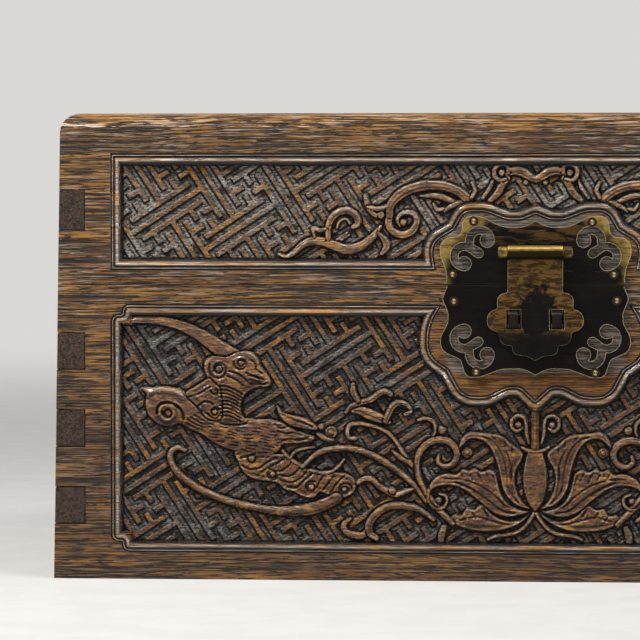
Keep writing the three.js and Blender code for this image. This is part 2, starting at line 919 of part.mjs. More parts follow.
// The pierced scroll pair of one corner: side is -1 on the left, way is 1 above and -1 below
function piercedScrolls(side, way) {
  const middle = (upperScroll.radius + upperScroll.radius - scrollWidth) / 2;
  const neck = {
    x: upperScroll.x - middle,
    z: upperScroll.z - 0.4,
    radius: scrollWidth / 2,
  };
  const joint = { x: neck.x - 0.4, z: lowerScroll.z + 3.9, radius: scrollWidth / 2 };
  const eyeOffset = upperScroll.radius - scrollEyeRadius;
  const strokes = [
    sector(upperScroll, scrollWidth),
    sector(lowerScroll, scrollWidth),
    disc({ x: upperScroll.x + eyeOffset, z: upperScroll.z, radius: scrollEyeRadius }),
    disc({ x: lowerScroll.x, z: lowerScroll.z - eyeOffset, radius: scrollEyeRadius }),
    stroke(neck, joint),
    stroke(joint, scrollTail),
  ];
  const solids = strokes.map((points) => {
    const placed = points.map(([x, z]) => {
      const up = way > 0 ? z : 2 * scrollMirror - z;
      return new THREE.Vector2(-side * x, caseHeight + up);
    });
    return plate(anticlockwise(placed), [plateFront - 1, front + 1]);
  });
  return fuse(solids);
}

function lockPlate(half, rim, way, nails, slots) {
  const corners = mirrored(half.map(([x, away, r]) => [x, rim + way * away, r]));
  const whole = plate(anticlockwise(roundedLoop(corners)), [plateFront, front]);
  const scrolls = [-1, 1].map((side) => piercedScrolls(side, way));
  return cutAll(whole, [...scrolls, ...lockNailHoles(nails), ...slots]);
}

function hasp() {
  const corners = mirrored(haspOutline.map(([x, up, r]) => [x, caseHeight + up, r]));
  const bladeBack = plateFront - bladeGap;
  const outline = anticlockwise(roundedLoop(corners));
  const blade = plate(outline, [bladeBack - bladeThickness, bladeBack]);
  const length = [-knuckleHalfLength, knuckleHalfLength];
  const knuckle = rodAlongX(knuckleRadius, length, pivotY, pivotZ, 24);
  const bore = rodAlongX(pinRadius + pinClearance, [-boxWidth, boxWidth], pivotY, pivotZ, 16);
  const slots = [-1, 1].map((side) =>
    block(
      [side * staple.x - slotWidth / 2, side * staple.x + slotWidth / 2],
      [pivotY - 10, front],
      [stapleZ - slotHeight / 2, stapleZ + slotHeight / 2],
    ),
  );
  return cutAll(blade.add(knuckle), [bore, ...slots]);
}

// One leaf of a back hinge at x, above the seam or below it, with its knuckles
function hingeLeaf(x, up) {
  const corners = mirrored(leafOutline).map(([dx, h, r]) => [x + dx, hingeZ + up * h, r]);
  const leaf = plate(anticlockwise(roundedLoop(corners)), [back, back + leafThickness]);
  const third = (2 * leafHalfWidth) / 3;
  const middle = [x - third / 2, x + third / 2];
  const outer = [
    [x - leafHalfWidth, middle[0] - runningGap],
    [middle[1] + runningGap, x + leafHalfWidth],
  ];
  const own = up > 0 ? [middle] : outer;
  const others = up > 0 ? outer : [middle];
  const widened = others.map(([a, b]) => [a - runningGap, b + runningGap]);
  const room = widened.map((span) =>
    rodAlongX(hingeKnuckleRadius + runningGap, span, hingeY, hingeZ, 16),
  );
  const knuckles = own.map((span) => rodAlongX(hingeKnuckleRadius, span, hingeY, hingeZ, 16));
  const bore = rodAlongX(
    hingePinRadius + pinClearance,
    [x - leafHalfWidth - 1, x + leafHalfWidth + 1],
    hingeY,
    hingeZ,
    12,
  );
  const whole = fuse([cutAll(leaf, room), ...knuckles]);
  return cutAll(whole, [bore, ...leafNailHoles(up)]);
}

// A pin along X, centred on the origin, with its ends chamfered
function pinGeometry(radius, halfLength) {
  const chamfer = 0.3;
  const profile = [
    [0, -halfLength],
    [radius - chamfer, -halfLength],
    [radius, -halfLength + chamfer],
    [radius, halfLength - chamfer],
    [radius - chamfer, halfLength],
    [0, halfLength],
  ];
  const lathe = new THREE.LatheGeometry(profile.map(([r, y]) => new THREE.Vector2(r, y)), 14);
  return lathe.rotateZ(-Math.PI / 2);
}

// A domed nail whose head's underside is at the origin and whose shank points to -Y
function nailGeometry(sides) {
  const profile = [
    [0, -nail.length + 1],
    [nail.shank, -nail.length + 3],
    [nail.shank, 0],
    [nail.rim, 0],
    [nail.rim, nail.rimHeight],
    [nail.dome, nail.rimHeight],
    [nail.dome * 0.8, nail.rimHeight + (nail.height - nail.rimHeight) * 0.65],
    [0, nail.height],
  ];
  return new THREE.LatheGeometry(profile.map(([r, y]) => new THREE.Vector2(r, y)), sides);
}

// A round backing plate for a bail's loop, facing +X, pierced for the loop's shank
function roseGeometry() {
  const profile = [
    [0, 0],
    [rose.radius, 0],
    [rose.radius, rose.thickness * 0.4],
    [rose.radius * 0.8, rose.thickness],
    [0, rose.thickness],
  ];
  const lathe = new THREE.LatheGeometry(profile.map(([r, y]) => new THREE.Vector2(r, y)), 20);
  lathe.rotateZ(-Math.PI / 2);
  const halfY = bailLoop.width / 2 + holeClearance;
  const halfZ = bailLoop.strap + holeClearance;
  const slot = block([-1, rose.thickness + 1], [-halfY, halfY], [-halfZ, halfZ]);
  return toGeometry(toSolid(lathe).subtract(slot));
}

// A round bar along points in Y and Z, its joints mitred
function barGeometry(points, radius, sides) {
  const way = (i) => points[i + 1].clone().sub(points[i]).normalize();
  const positions = [];
  points.forEach((point, i) => {
    const before = way(Math.max(i - 1, 0));
    const after = way(Math.min(i, points.length - 2));
    const along = before.clone().add(after).normalize();
    const across = new THREE.Vector2(along.y, -along.x);
    const mitre = radius / along.dot(after);
    for (let k = 0; k < sides; k += 1) {
      const angle = (2 * Math.PI * (k + 0.5)) / sides;
      const out = mitre * Math.cos(angle);
      const [y, z] = [point.x + across.x * out, point.y + across.y * out];
      positions.push(radius * Math.sin(angle), y, z);
    }
  });
  const index = [];
  for (let i = 0; i < points.length - 1; i += 1) {
    for (let k = 0; k < sides; k += 1) {
      const [a, b] = [i * sides + k, i * sides + ((k + 1) % sides)];
      index.push(a, a + sides, b, b, a + sides, b + sides);
    }
  }
  const last = (points.length - 1) * sides;
  for (let k = 1; k < sides - 1; k += 1) {
    index.push(0, k, k + 1, last, last + k + 1, last + k);
  }
  const geometry = new THREE.BufferGeometry();
  geometry.setAttribute("position", new THREE.Float32BufferAttribute(positions, 3));
  geometry.setIndex(index);
  return geometry;
}

// A bail hanging in the plane X = 0 from a pivot line at Z = 0, its ends turned outwards
function bailGeometry() {
  const arc = (y, z, radius, from, steps) =>
    Array.from({ length: steps + 1 }, (_, i) => {
      const angle = from + ((from > 0 ? 1 : -1) * (Math.PI / 2) * i) / steps;
      return new THREE.Vector2(y + radius * Math.cos(angle), z + radius * Math.sin(angle));
    });
  const half = [
    new THREE.Vector2(bailEnd, 0),
    ...arc(bailHalfGrip + bailTurn, -bailTurn, bailTurn, Math.PI / 2, 4),
    ...arc(bailHalfGrip - bailCorner, bailCorner - bailDrop, bailCorner, 0, 6),
  ];
  const other = half.map((p) => new THREE.Vector2(-p.x, p.y)).reverse();
  return toGeometry(toSolid(barGeometry([...half, ...other], bailRod, 8)));
}

// Finishes
const finish = (color, roughness, metalness) =>
  new THREE.MeshStandardMaterial({ color, roughness, metalness });
const wood = finish(0x8a5526, 0.5, 0);
const endGrain = finish(0x6b4222, 0.55, 0);
const plateBrass = finish(0x4a3d28, 0.45, 0.9);
const haspBrass = finish(0x8a6a34, 0.45, 0.9);
const brightBrass = finish(0xc29a4a, 0.3, 1);

const box = new THREE.Group();
const caseGroup = new THREE.Group();
const lidGroup = new THREE.Group();
const leftBailGroup = new THREE.Group();
const rightBailGroup = new THREE.Group();
box.add(caseGroup, lidGroup, leftBailGroup, rightBailGroup);

function addPiece(group, name, shape, material, place = [0, 0, 0], turn = [0, 0, 0]) {
  const geometry = shape.isBufferGeometry ? shape : toGeometry(shape);
  const mesh = new THREE.Mesh(geometry, material);
  mesh.name = name;
  mesh.position.set(...place);
  mesh.rotation.set(...turn);
  group.add(mesh);
}

// Case
addPiece(
  caseGroup,
  "case_front_board",
  caseLongBoard(-1, [
    sunkField(casePanel(), cartouche(caseCartouche, caseHeight, -1)).subtract(carvedForms()),
    ...stapleSlots,
    ...lockNailHoles(lowerPlateNails),
  ]),
  wood,
);
addPiece(caseGroup, "case_back_board", caseLongBoard(1, leafNailHoles(-1)), wood);
addPiece(caseGroup, "case_left_board", caseEndBoard(-1), endGrain);
addPiece(caseGroup, "case_right_board", caseEndBoard(1), endGrain);
addPiece(caseGroup, "case_bottom_board", bottomBoard(), wood);

// Lid
addPiece(
  lidGroup,
  "lid_front_board",
  lidLongBoard(-1, [
    sunkField(lidPanel(), cartouche(lidCartouche, lidBottom, 1)),
    ...eyeletSlots,
    ...lockNailHoles(upperPlateNails),
  ]),
  wood,
);
addPiece(lidGroup, "lid_back_board", lidLongBoard(1, leafNailHoles(1)), wood);
addPiece(lidGroup, "lid_left_board", lidEndBoard(-1), endGrain);
addPiece(lidGroup, "lid_right_board", lidEndBoard(1), endGrain);
addPiece(lidGroup, "lid_top_board", lidTopBoard(), wood);

// Lock set
addPiece(
  lidGroup,
  "upper_lock_plate",
  lockPlate(upperPlate, lidBottom, 1, upperPlateNails, eyeletSlots),
  plateBrass,
);
addPiece(
  caseGroup,
  "lower_lock_plate",
  lockPlate(lowerPlate, caseHeight, -1, lowerPlateNails, stapleSlots),
  plateBrass,
);
const nailShape = nailGeometry(8);
const towardsFront = [Math.PI, 0, 0];
upperPlateNails.map(seamPoint).forEach(([x, z], i) => {
  const place = [x, plateFront, z];
  addPiece(lidGroup, `upper_plate_nail_${i + 1}`, nailShape, brightBrass, place, towardsFront);
});
lowerPlateNails.map(seamPoint).forEach(([x, z], i) => {
  const place = [x, plateFront, z];
  addPiece(caseGroup, `lower_plate_nail_${i + 1}`, nailShape, brightBrass, place, towardsFront);
});
for (const [name, side] of [
  ["left", -1],
  ["right", 1],
]) {
  const eye = cotterShape(eyelet, pinRadius + pinClearance, eyeletReach, frontThrough);
  const loop = sliceGeometry(eye, [-eyelet.width / 2, eyelet.width / 2]).rotateZ(Math.PI);
  addPiece(lidGroup, `${name}_hasp_eyelet`, loop, brightBrass, [side * eyeletX, pivotY, pivotZ]);
  const bend = sliceGeometry(stapleShape(frontThrough), [-staple.width / 2, staple.width / 2]);
  const place = [side * staple.x, plateFront, stapleZ];
  addPiece(caseGroup, `${name}_lock_staple`, bend.rotateZ(Math.PI), brightBrass, place);
}
const haspPinHalf = eyeletX + eyelet.width / 2 + 0.4;
addPiece(lidGroup, "hasp_pin", pinGeometry(pinRadius, haspPinHalf), brightBrass, [0, pivotY, pivotZ]);
addPiece(lidGroup, "hasp", hasp(), haspBrass);

// Back hinges
const backNail = nailGeometry(6);
[
  ["left", -hingeX],
  ["right", hingeX],
].forEach(([name, x], n) => {
  addPiece(caseGroup, `${name}_hinge_case_leaf`, hingeLeaf(x, -1), plateBrass);
  addPiece(lidGroup, `${name}_hinge_lid_leaf`, hingeLeaf(x, 1), plateBrass);
  const pin = pinGeometry(hingePinRadius, leafHalfWidth + 0.5);
  addPiece(caseGroup, `${name}_hinge_pin`, pin, brightBrass, [x, hingeY, hingeZ]);
  leafNailPlaces(-1)[n].forEach(([nailX, z], i) => {
    const place = [nailX, back + leafThickness, z];
    addPiece(caseGroup, `${name}_hinge_case_nail_${i + 1}`, backNail, brightBrass, place);
  });
  leafNailPlaces(1)[n].forEach(([nailX, z], i) => {
    const place = [nailX, back + leafThickness, z];
    addPiece(lidGroup, `${name}_hinge_lid_nail_${i + 1}`, backNail, brightBrass, place);
  });
});

// Bail handles: each hangs in two cotter loops through an end board
const roseShape = roseGeometry();
const roseSeat = endX(bailHeight) + rose.seat;
for (const [name, end, bailGroup] of [
  ["left", -1, leftBailGroup],
  ["right", 1, rightBailGroup],
]) {
  const turn = [0, 0, end > 0 ? 0 : Math.PI];
  for (const [where, side] of [
    ["front", -1],
    ["rear", 1],
  ]) {
    const through = endX(bailHeight) - insideX;
    const shape = cotterShape(bailLoop, bailRod + bailClearance, bailReach, through);
    const loop = plateGeometry(shape, [-bailLoop.width / 2, bailLoop.width / 2]);
    const place = [end * bailX, side * bailEyeY, bailHeight];
    addPiece(caseGroup, `${name}_${where}_handle_loop`, loop, brightBrass, place, turn);
    const seat = [end * roseSeat, side * bailEyeY, bailHeight];
    const lean = [0, -end * endTilt, turn[2]];
    addPiece(caseGroup, `${name}_${where}_handle_rose`, roseShape, plateBrass, seat, lean);
  }
  addPiece(bailGroup, `${name}_bail`, bailGeometry(), haspBrass, [end * bailX, 0, bailHeight]);
}

export default box;
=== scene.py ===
"""Carved hardwood document box: carved panels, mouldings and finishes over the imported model."""

import math

import bpy
import numpy as np
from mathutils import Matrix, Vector


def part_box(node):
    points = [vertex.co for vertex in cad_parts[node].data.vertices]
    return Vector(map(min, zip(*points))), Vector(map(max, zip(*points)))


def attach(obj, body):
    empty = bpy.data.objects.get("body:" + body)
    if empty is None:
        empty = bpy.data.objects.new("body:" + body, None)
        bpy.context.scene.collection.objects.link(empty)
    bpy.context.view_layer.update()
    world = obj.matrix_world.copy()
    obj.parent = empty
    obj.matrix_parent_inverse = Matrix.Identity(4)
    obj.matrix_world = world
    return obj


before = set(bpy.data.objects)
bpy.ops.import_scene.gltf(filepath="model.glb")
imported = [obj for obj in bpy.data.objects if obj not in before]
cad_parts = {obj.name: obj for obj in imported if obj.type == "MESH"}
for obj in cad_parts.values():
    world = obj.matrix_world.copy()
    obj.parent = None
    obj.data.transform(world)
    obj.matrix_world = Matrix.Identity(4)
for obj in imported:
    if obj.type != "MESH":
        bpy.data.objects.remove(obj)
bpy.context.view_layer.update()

bl_info = {
    "name": "Carved Document Box",
    "version": (1, 0, 0),
    "blender": (4, 5, 0),
    "location": "3D View > Sidebar > Carved Box",
    "description": "Carves the panels and finishes the wood and brass of a document box",
    "category": "Add Mesh",
}

MM = 0.001

# Places taken from the model
case_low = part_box("case_front_board")[0]
pin_low, pin_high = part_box("hasp_pin")
FACE_Y = case_low.y / MM
SEAM_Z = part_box("lid_front_board")[0].z / MM
PIN_Z = (pin_low.z + pin_high.z) / 2 / MM

# Depths behind the face of the boards, in millimetres: the carved ground, the front of the slab
# where the moulding covers it, and its back
GROUND_DEPTH = 2.76
COVERED_DEPTH = 3.3
SLAB_BACK_DEPTH = 5.5

# Distance in from a panel's outline up to which the moulding covers the carved slab
UNDER_MOULDING = 4.6

# Lowest and highest x and z of each carved field's left half, and the middle of a fret group
CASE_FIELD = (-171.7, 15.4), (0, 110.2)
CASE_FRET_CENTRE = (-82.2, 93.5)
LID_FIELD = (-171.7, 132.8), (0, 172.5)
LID_FRET_CENTRE = (-122.3, 146.05)

# Heights of the carving: the least that counts as a form, the greatest that the finish tells
# apart, how tall a form has to be to be a main one, and the least that cuts leave of those
FORM_LEAST = 0.02
RELIEF_SCALE = 2.2
MAIN_FORM = 1.9
MAIN_FORM_KEPT = 1.25

# Widths in the carving: the rise at a form's edge and the room cut round it
EDGE_RISE = 0.4
ROOM_ROUND_FORM = 0.8

# Share of its height that a form keeps at the edge of one laid over it, and how far that reaches
SUNK_SHARE = 0.66
SUNK_REACH = 0.7

# Lines along a rib, as depth in millimetres and width as a share of the rib's half-width
LINE_DEPTH = 0.4
LINE_WIDTH = 0.16

# Rings round a knob, and a leaf's rim and the hollow behind it, as distance in and width
RING_DEPTH = 0.6
RING_WIDTH = 0.45
RIM = 0.75, 0.45
RIM_HOLLOW = 2, 0.75

# Half the width of the sloped wall along a fret bar
WALL_HALF_WIDTH = 0.16

# Steps in a panel's rounded corner, and between two points of a rib and of a leaf
ARC_STEPS = 6
RIB_STEPS = 8
LEAF_STEPS = 5

# Bevel on the metal's edges, and how near two corners are to be merged
METAL_BEVEL = 0.3 * MM
WELD_REACH = 0.01 * MM

# Middle of the hasp's blade
BLADE_Z = 111

# Panel outlines, anticlockwise from the front, as [x, z, rounding]; the left half of the case's
# and the right half of the lid's, each completed by its mirror image
CASE_PANEL_LEFT = [
    [0, 75.6, 0], [-5.9, 81.2, 5.8], [-11.5, 81.2, 8.2], [-19.9, 77, 10.3], [-29.5, 77, 7.4],
    [-35.4, 88, 2.5], [-43.5, 93.5, 8.2], [-43.5, 105.5, 18.5], [-38.1, 114.5, 0],
    [-171.8, 114.5, 3.5], [-171.8, 110.5, 0], [-176.2, 110.5, 3.5], [-176.2, 15, 3.5],
    [-171.8, 15, 0], [-171.8, 11, 3.5],
]
LID_PANEL_RIGHT = [
    [0, 151, 0], [6, 148.7, 8.2], [11.9, 148.7, 10.3], [20.8, 152.1, 10.3], [29.1, 152.1, 4.9],
    [33.1, 144.8, 3.7], [41.6, 139.7, 5.8], [41.8, 134.6, 12.3], [40.7, 128.3, 0], [176.2, 128.3, 0],
    [176.2, 177, 0],
]

# Moulding round a panel as [distance in from the outline, depth, wear and painted light]; the last
# column is below 0 for painted shade in the grooves and above 0 for painted highlight and wear on the
# beads
MOULDING = [
    [-0.12, 3.6, 0], [-0.1, 0, 0.1], [0.02, 0, 0.1], [0.12, 0.14, -0.8], [0.26, 0.38, -1],
    [0.42, 0.64, -1], [0.62, 0.72, -1], [0.74, 0.36, -0.7], [0.84, 0.12, 0.3], [1, 0.05, 0.7],
    [1.16, 0.12, 0.2], [1.3, 0.4, -0.8], [1.46, 0.68, -1], [1.72, 0.58, -1], [1.88, 0.3, -0.5],
    [2.1, 0, 0.1], [2.5, -0.22, 0.5], [2.9, -0.3, 0.8], [3.3, -0.22, 0.4], [3.65, 0.05, 0],
    [3.95, 0.36, -0.3], [4.25, 0.7, -0.6], [4.5, 1.2, -0.8], [4.72, 2, -1], [4.94, 2.76, -1],
    [4.96, 3.6, -1],
]

# Carved forms of the left halves: ribs as [x, z, half-width] along the middle, leaves as [x, z]
# round the outline and folds as [x, z] along the cut
BAT_WING = [
    [-171, 106.6, 1], [-164, 107.8, 1.7], [-156, 107.4, 2], [-150, 106.2, 2.1], [-145, 104.5, 2.3],
    [-140, 102, 2.6], [-135, 98.8, 3], [-130, 95.4, 3.3], [-125, 92.6, 3.4],
]
BAT_RUMP = [
    [-163.8, 79.2], [-159, 79.8], [-154, 80.2], [-149.6, 79.6], [-146, 78.4], [-141, 74], [-137, 69],
    [-138, 62], [-141.6, 61.4], [-145.6, 63.6], [-148, 64.4], [-151, 63.4], [-155, 63.7],
    [-158.6, 65.6], [-161.2, 69], [-162, 73], [-161.4, 76.6],
]
BAT_NECK = [
    [-136.2, 83.4], [-137.4, 87.6], [-136.8, 91], [-133.4, 93], [-128, 92.8], [-123.4, 94.6],
    [-118.4, 94.8], [-115, 92.4], [-113.2, 88.4], [-110.6, 85], [-109.2, 82], [-110.4, 80],
    [-114.4, 79.6], [-118.4, 78], [-120.9, 75], [-121.7, 71.4], [-121, 68], [-119, 65.4], [-124, 64],
    [-131, 65], [-133, 69], [-133, 74], [-134, 79],
]
BAT_SHOULDER = [
    [-145, 77.6], [-142, 79.6], [-138.4, 81.8], [-135, 83.8], [-133, 81.8], [-130.4, 79.6],
    [-129.6, 75], [-129.4, 70.4], [-129.8, 66.8], [-133, 65.8], [-136.6, 66.9], [-138.8, 69.8],
    [-141.4, 72.8], [-144.6, 75.6],
]
BAT_BODY = [
    [-146.4, 66.6], [-145.4, 64], [-139.4, 60.6], [-131.4, 55.6], [-122, 52.5], [-112, 51.1],
    [-106.5, 53], [-104, 56.2], [-99, 56.4], [-93, 57.2], [-91, 59.4], [-95, 61], [-100, 62.6],
    [-104.6, 65.4], [-110, 66.6], [-118, 66.8], [-124, 67.6], [-131, 68.4], [-137, 70.5],
    [-142, 73.4],
]
BAT_HORN = [
    [-106.8, 72, 0.5], [-105, 68.6, 1.2], [-101.5, 66.4, 2.2], [-97, 65.2, 2.4], [-93, 63.8, 1.8],
    [-90.4, 62.8, 0.8],
]
BAT_MEMBRANE = [
    [-124.4, 53.4], [-123.4, 49], [-121.6, 45.2], [-118.6, 42.4], [-114, 41], [-109, 40.6],
    [-106.4, 39.6], [-104, 37.4], [-100, 36.3], [-97.4, 34.8], [-94, 33.8], [-91, 34.2],
    [-88.8, 36.2], [-85, 34.8], [-80.5, 33.8], [-76.3, 35], [-73.9, 38.3], [-74.6, 42], [-78, 44.2],
    [-82, 44.8], [-88, 45.2], [-94, 46], [-98, 48.6], [-103, 51.8], [-108, 52.4], [-116, 52.8],
]
BAT_LOWER_WING = [
    [-145.2, 53.4, 0.8], [-148.4, 54.6, 1.2], [-151.1, 52.4, 1.4], [-151, 48.6, 1.4],
    [-148.6, 44.4, 1.5], [-144, 40.4, 1.6], [-138.5, 37, 1.6], [-132, 34.1, 1.6], [-125, 31.8, 1.6],
    [-117, 30, 1.6], [-109, 28.7, 1.8], [-101, 28.4, 2.2], [-94, 29.2, 2.6], [-88, 31, 2.6],
    [-82, 34, 2.4],
]
BAT_FOLDS = [
    [[-144, 75.6], [-141.4, 76.4], [-138, 77.8], [-134.6, 80]],
    [[-140, 71.8], [-137.6, 73.6], [-135.4, 73.8], [-133.4, 72.6]],
    [[-127.6, 84.6], [-124, 83], [-121, 80.6]],
    [[-126.6, 86.6], [-122, 84.8], [-118.8, 82]],
    [[-119.6, 85.8], [-116, 84.4], [-112.2, 82.6]],
    [[-118.6, 81.4], [-115.4, 82], [-112.6, 81.4], [-110.6, 81.6]],
    [[-118, 91.4], [-115.8, 89.4], [-115.4, 87], [-113, 85.6]],
    [[-105, 57.6], [-101, 58.4], [-97.6, 58.2], [-94, 59]],
    [[-106.4, 61.8], [-103, 60.6], [-99.6, 61.2], [-96.6, 60]],
    [[-107.8, 64.4], [-105, 63], [-101.6, 63.6], [-98.4, 62]],
    [[-104, 68.4], [-100, 66.6], [-96, 65.4], [-92, 63.6]],
    [[-121.6, 47.4], [-118, 45.8], [-114, 46.4], [-111.4, 48.4], [-107, 50.6]],
    [[-113.6, 44.6], [-110.4, 46.4], [-106.4, 48.6], [-103.4, 50.8]],
    [[-110, 46], [-106.2, 45], [-102.6, 46.8], [-100.4, 49]],
    [[-105.6, 43.6], [-102, 43], [-99, 44.8], [-97, 47]],
    [[-105, 41.2], [-101, 40.4], [-97, 42.2], [-94.4, 45.4]],
    [[-102.4, 38.4], [-98.4, 38.6], [-95.4, 41.6], [-91.6, 44.6]],
    [[-90.4, 38.4], [-89, 41], [-87, 43.6]],
    [[-87.6, 37.4], [-85.6, 40], [-83, 43.2]],
    [[-84.6, 36], [-83, 38.6], [-80.6, 41.6], [-78.6, 43.4]],
    [[-122, 50.4], [-119.8, 51], [-116, 52.2]],
]
# Rows of feathers, as the first cut, the last cut, how many, their width and their depth
BAT_FEATHERS = [
    [
        [[-130.6, 80.4], [-128, 80.2], [-125, 79], [-121.4, 77]],
        [[-130, 67.6], [-127.6, 68.2], [-125, 67.4], [-122, 65.6]],
        9, 0.4, 0.75,
    ],
    [
        [[-118.8, 84.8], [-115, 84], [-111.4, 83]],
        [[-118, 81.2], [-115, 81.2], [-111.6, 81]],
        3, 0.36, 0.6,
    ],
    [
        [[-146, 65.6], [-141.4, 63.2], [-137, 61.6]],
        [[-138, 70], [-134, 67.4], [-130.6, 66]],
        6, 0.4, 0.45,
    ],
]
WEB_EDGE = [[-93, 45.4, 0.8], [-88, 44.2, 0.9], [-84, 45, 0.9], [-81, 47.4, 0.8], [-79, 50, 0.6]]
WEB_ROOT = [[-104.6, 53.6, 0.7], [-102.8, 51.2, 0.9], [-99.6, 48.8, 0.9], [-97, 47.4, 0.7]]
WEB_TWIG = [[-101.4, 50.4, 0.6], [-99.4, 53, 0.8], [-95.6, 54.4, 0.8], [-91.4, 55, 0.6]]
VINE = [
    [-96.4, 46.6, 1], [-94, 49, 1.1], [-91, 51.7, 1.2], [-87, 53.7, 1.3], [-82, 54.5, 1.3],
    [-76, 54.5, 1.35], [-70, 52.9, 1.35], [-65, 50.6, 1.4], [-60, 47.6, 1.4], [-55, 43.9, 1.3],
    [-51.5, 41, 1.2], [-48.5, 37.6, 1.2], [-45, 33, 1.1],
]
LILY_CUP = [
    [-76.8, 70.8, 1.2], [-72.5, 70.4, 2], [-68, 68.6, 2.4], [-64, 67, 2], [-60.6, 65.6, 1.2],
]
LILY_BACK_PETAL = [
    [-78.2, 69.4, 0.8], [-76, 72, 1.1], [-72, 73.6, 1.3], [-68, 74.8, 1.3], [-65, 77, 1.4],
    [-62, 78.3, 1.3], [-59.6, 76.8, 1],
]
LILY_FRONT_PETAL = [
    [-61.8, 66, 1.3], [-60.2, 69.6, 1.5], [-58.4, 72.6, 1.5], [-55.4, 73.6, 1.3], [-52.6, 72.4, 1.1],
    [-51.4, 70, 1], [-53.6, 68.8, 0.9],
]
LILY_TOP_PETAL = [[-75.3, 81, 1], [-75, 77.4, 1.4], [-73.2, 74.4, 1.2]]
TENDRIL = [
    [-74.4, 58.6, 0.9], [-77, 59, 1], [-77.6, 61.8, 1.1], [-76.2, 64.4, 1.1], [-72, 64.8, 1],
    [-67, 63.9, 0.9], [-63, 62.4, 0.9], [-59.6, 59.9, 0.9], [-57, 56.6, 0.9], [-55, 53.4, 1],
    [-53, 50.8, 0.9], [-50.2, 47.2, 0.8],
]
TENDRIL_LEAF = [[-59, 53.6, 0.6], [-56, 51, 1.2], [-52, 48.8, 1.2], [-49.6, 46, 0.8]]
BUD_STEM = [
    [-48.4, 66.4, 0.7], [-44.6, 67, 0.9], [-41.8, 65.2, 0.9], [-41.2, 62, 0.8], [-42, 59.8, 0.7],
]
OUTER_SCROLL = [
    [-34, 23.6, 1.2], [-38, 27.6, 1.4], [-42, 32.2, 1.4], [-45.4, 37, 1.3], [-47.8, 42, 1.3],
    [-48.8, 47, 1.3], [-48.1, 52, 1.4], [-45.3, 56, 1.5], [-41, 58.2, 1.6], [-36.4, 57.8, 1.6],
    [-33.2, 55.2, 1.5], [-32.3, 51.6, 1.4], [-34, 48.4, 1.3], [-37.3, 47.2, 1.2], [-40, 49, 1],
    [-39.8, 51.6, 0.8],
]
PETAL_SIDE = [
    [-31.6, 54.6], [-30.3, 59], [-27, 61.6], [-21, 61.2], [-14, 60.2], [-9, 56.2], [-5.2, 53.4],
    [-5.4, 50], [-7.6, 46], [-8.3, 41], [-7, 36], [-4, 31.6], [-1.6, 29.8], [-7, 30.9], [-11, 33.9],
    [-13.6, 38.6], [-14.9, 44.6], [-16.6, 50.6], [-19, 55.4], [-22.4, 58.2], [-26.4, 58.6],
    [-29, 56.8],
]
PETAL_RUFFLED = [
    [-44.2, 36.2], [-43.2, 40.4], [-40, 43.4], [-36, 44.7], [-32.4, 44.2], [-30, 46.3],
    [-27.2, 45.5], [-25, 46.6], [-22, 45.3], [-19, 46.2], [-16.2, 44.4], [-15.2, 40.6], [-13.8, 36],
    [-11, 32], [-7, 30], [-2.4, 29], [-5, 27.6], [-9, 26.6], [-13, 26.7], [-17, 28], [-20.4, 30.4],
    [-24, 33.6], [-28, 36.6], [-32, 38.8], [-36.5, 39.4], [-41, 38.6],
]
PETAL_SPIRAL = [
    [-44, 37.4, 0.9], [-44.1, 33.6, 0.9], [-42.2, 30.6, 0.9], [-39, 29.8, 0.9], [-36.6, 31.8, 0.8],
    [-36.8, 34.8, 0.7], [-39.4, 36, 0.6],
]
PETAL_LOW = [
    [-35, 24.4], [-33.6, 27.6], [-30.6, 27.2], [-28.4, 29.9], [-25, 29.7], [-22.4, 31.6],
    [-20, 30.8], [-18, 28.2], [-15, 26.2], [-11, 25], [-7, 25.4], [-2, 28], [-4.4, 25.2], [-9, 22.4],
    [-14, 20.9], [-20, 20.4], [-26, 20.8], [-31, 22.2],
]
ROOT_BAND = [
    [-19.4, 17.2, 0.7], [-16, 18.6, 0.9], [-12, 19.1, 0.9], [-8, 20, 0.9], [-4.6, 22.2, 0.9],
    [-2, 25.4, 0.9], [-0.2, 28.4, 0.8],
]
LOW_STEM = [[-38.8, 16.6, 1.5], [-38.4, 19.4, 1.6], [-37.4, 22, 1.2]]
ARCH_LEAF = [
    [-65.6, 17.4, 1.3], [-68.4, 19.6, 1.6], [-68.4, 23.6, 1.7], [-65.4, 27.6, 1.7], [-61, 30.4, 1.6],
    [-55.6, 31, 1.5], [-50, 30.2, 1.4], [-45.6, 27.9, 1.2], [-42, 25.2, 0.9],
]
HOOK_LEAF = [
    [-76.4, 25.4, 0.8], [-79, 23, 1.3], [-78.4, 20.2, 1.5], [-75.4, 18.6, 1.6], [-71.4, 18.4, 1.5],
    [-69, 20.6, 1.3],
]
CURLED_LEAF = [
    [-73.4, 40.2, 1], [-70.6, 42, 1.2], [-67.5, 41.6, 1.3], [-64.6, 39, 1.3], [-61, 36.8, 1.4],
    [-57, 35.6, 1.3], [-52, 37.4, 1], [-48.8, 38.2, 0.6],
]
SEED_POD = [
    [2, 53.8], [-2.6, 53.8], [-3.8, 51], [-4.9, 46], [-5.1, 41], [-4.3, 36], [-2.6, 31.6], [2, 29],
]
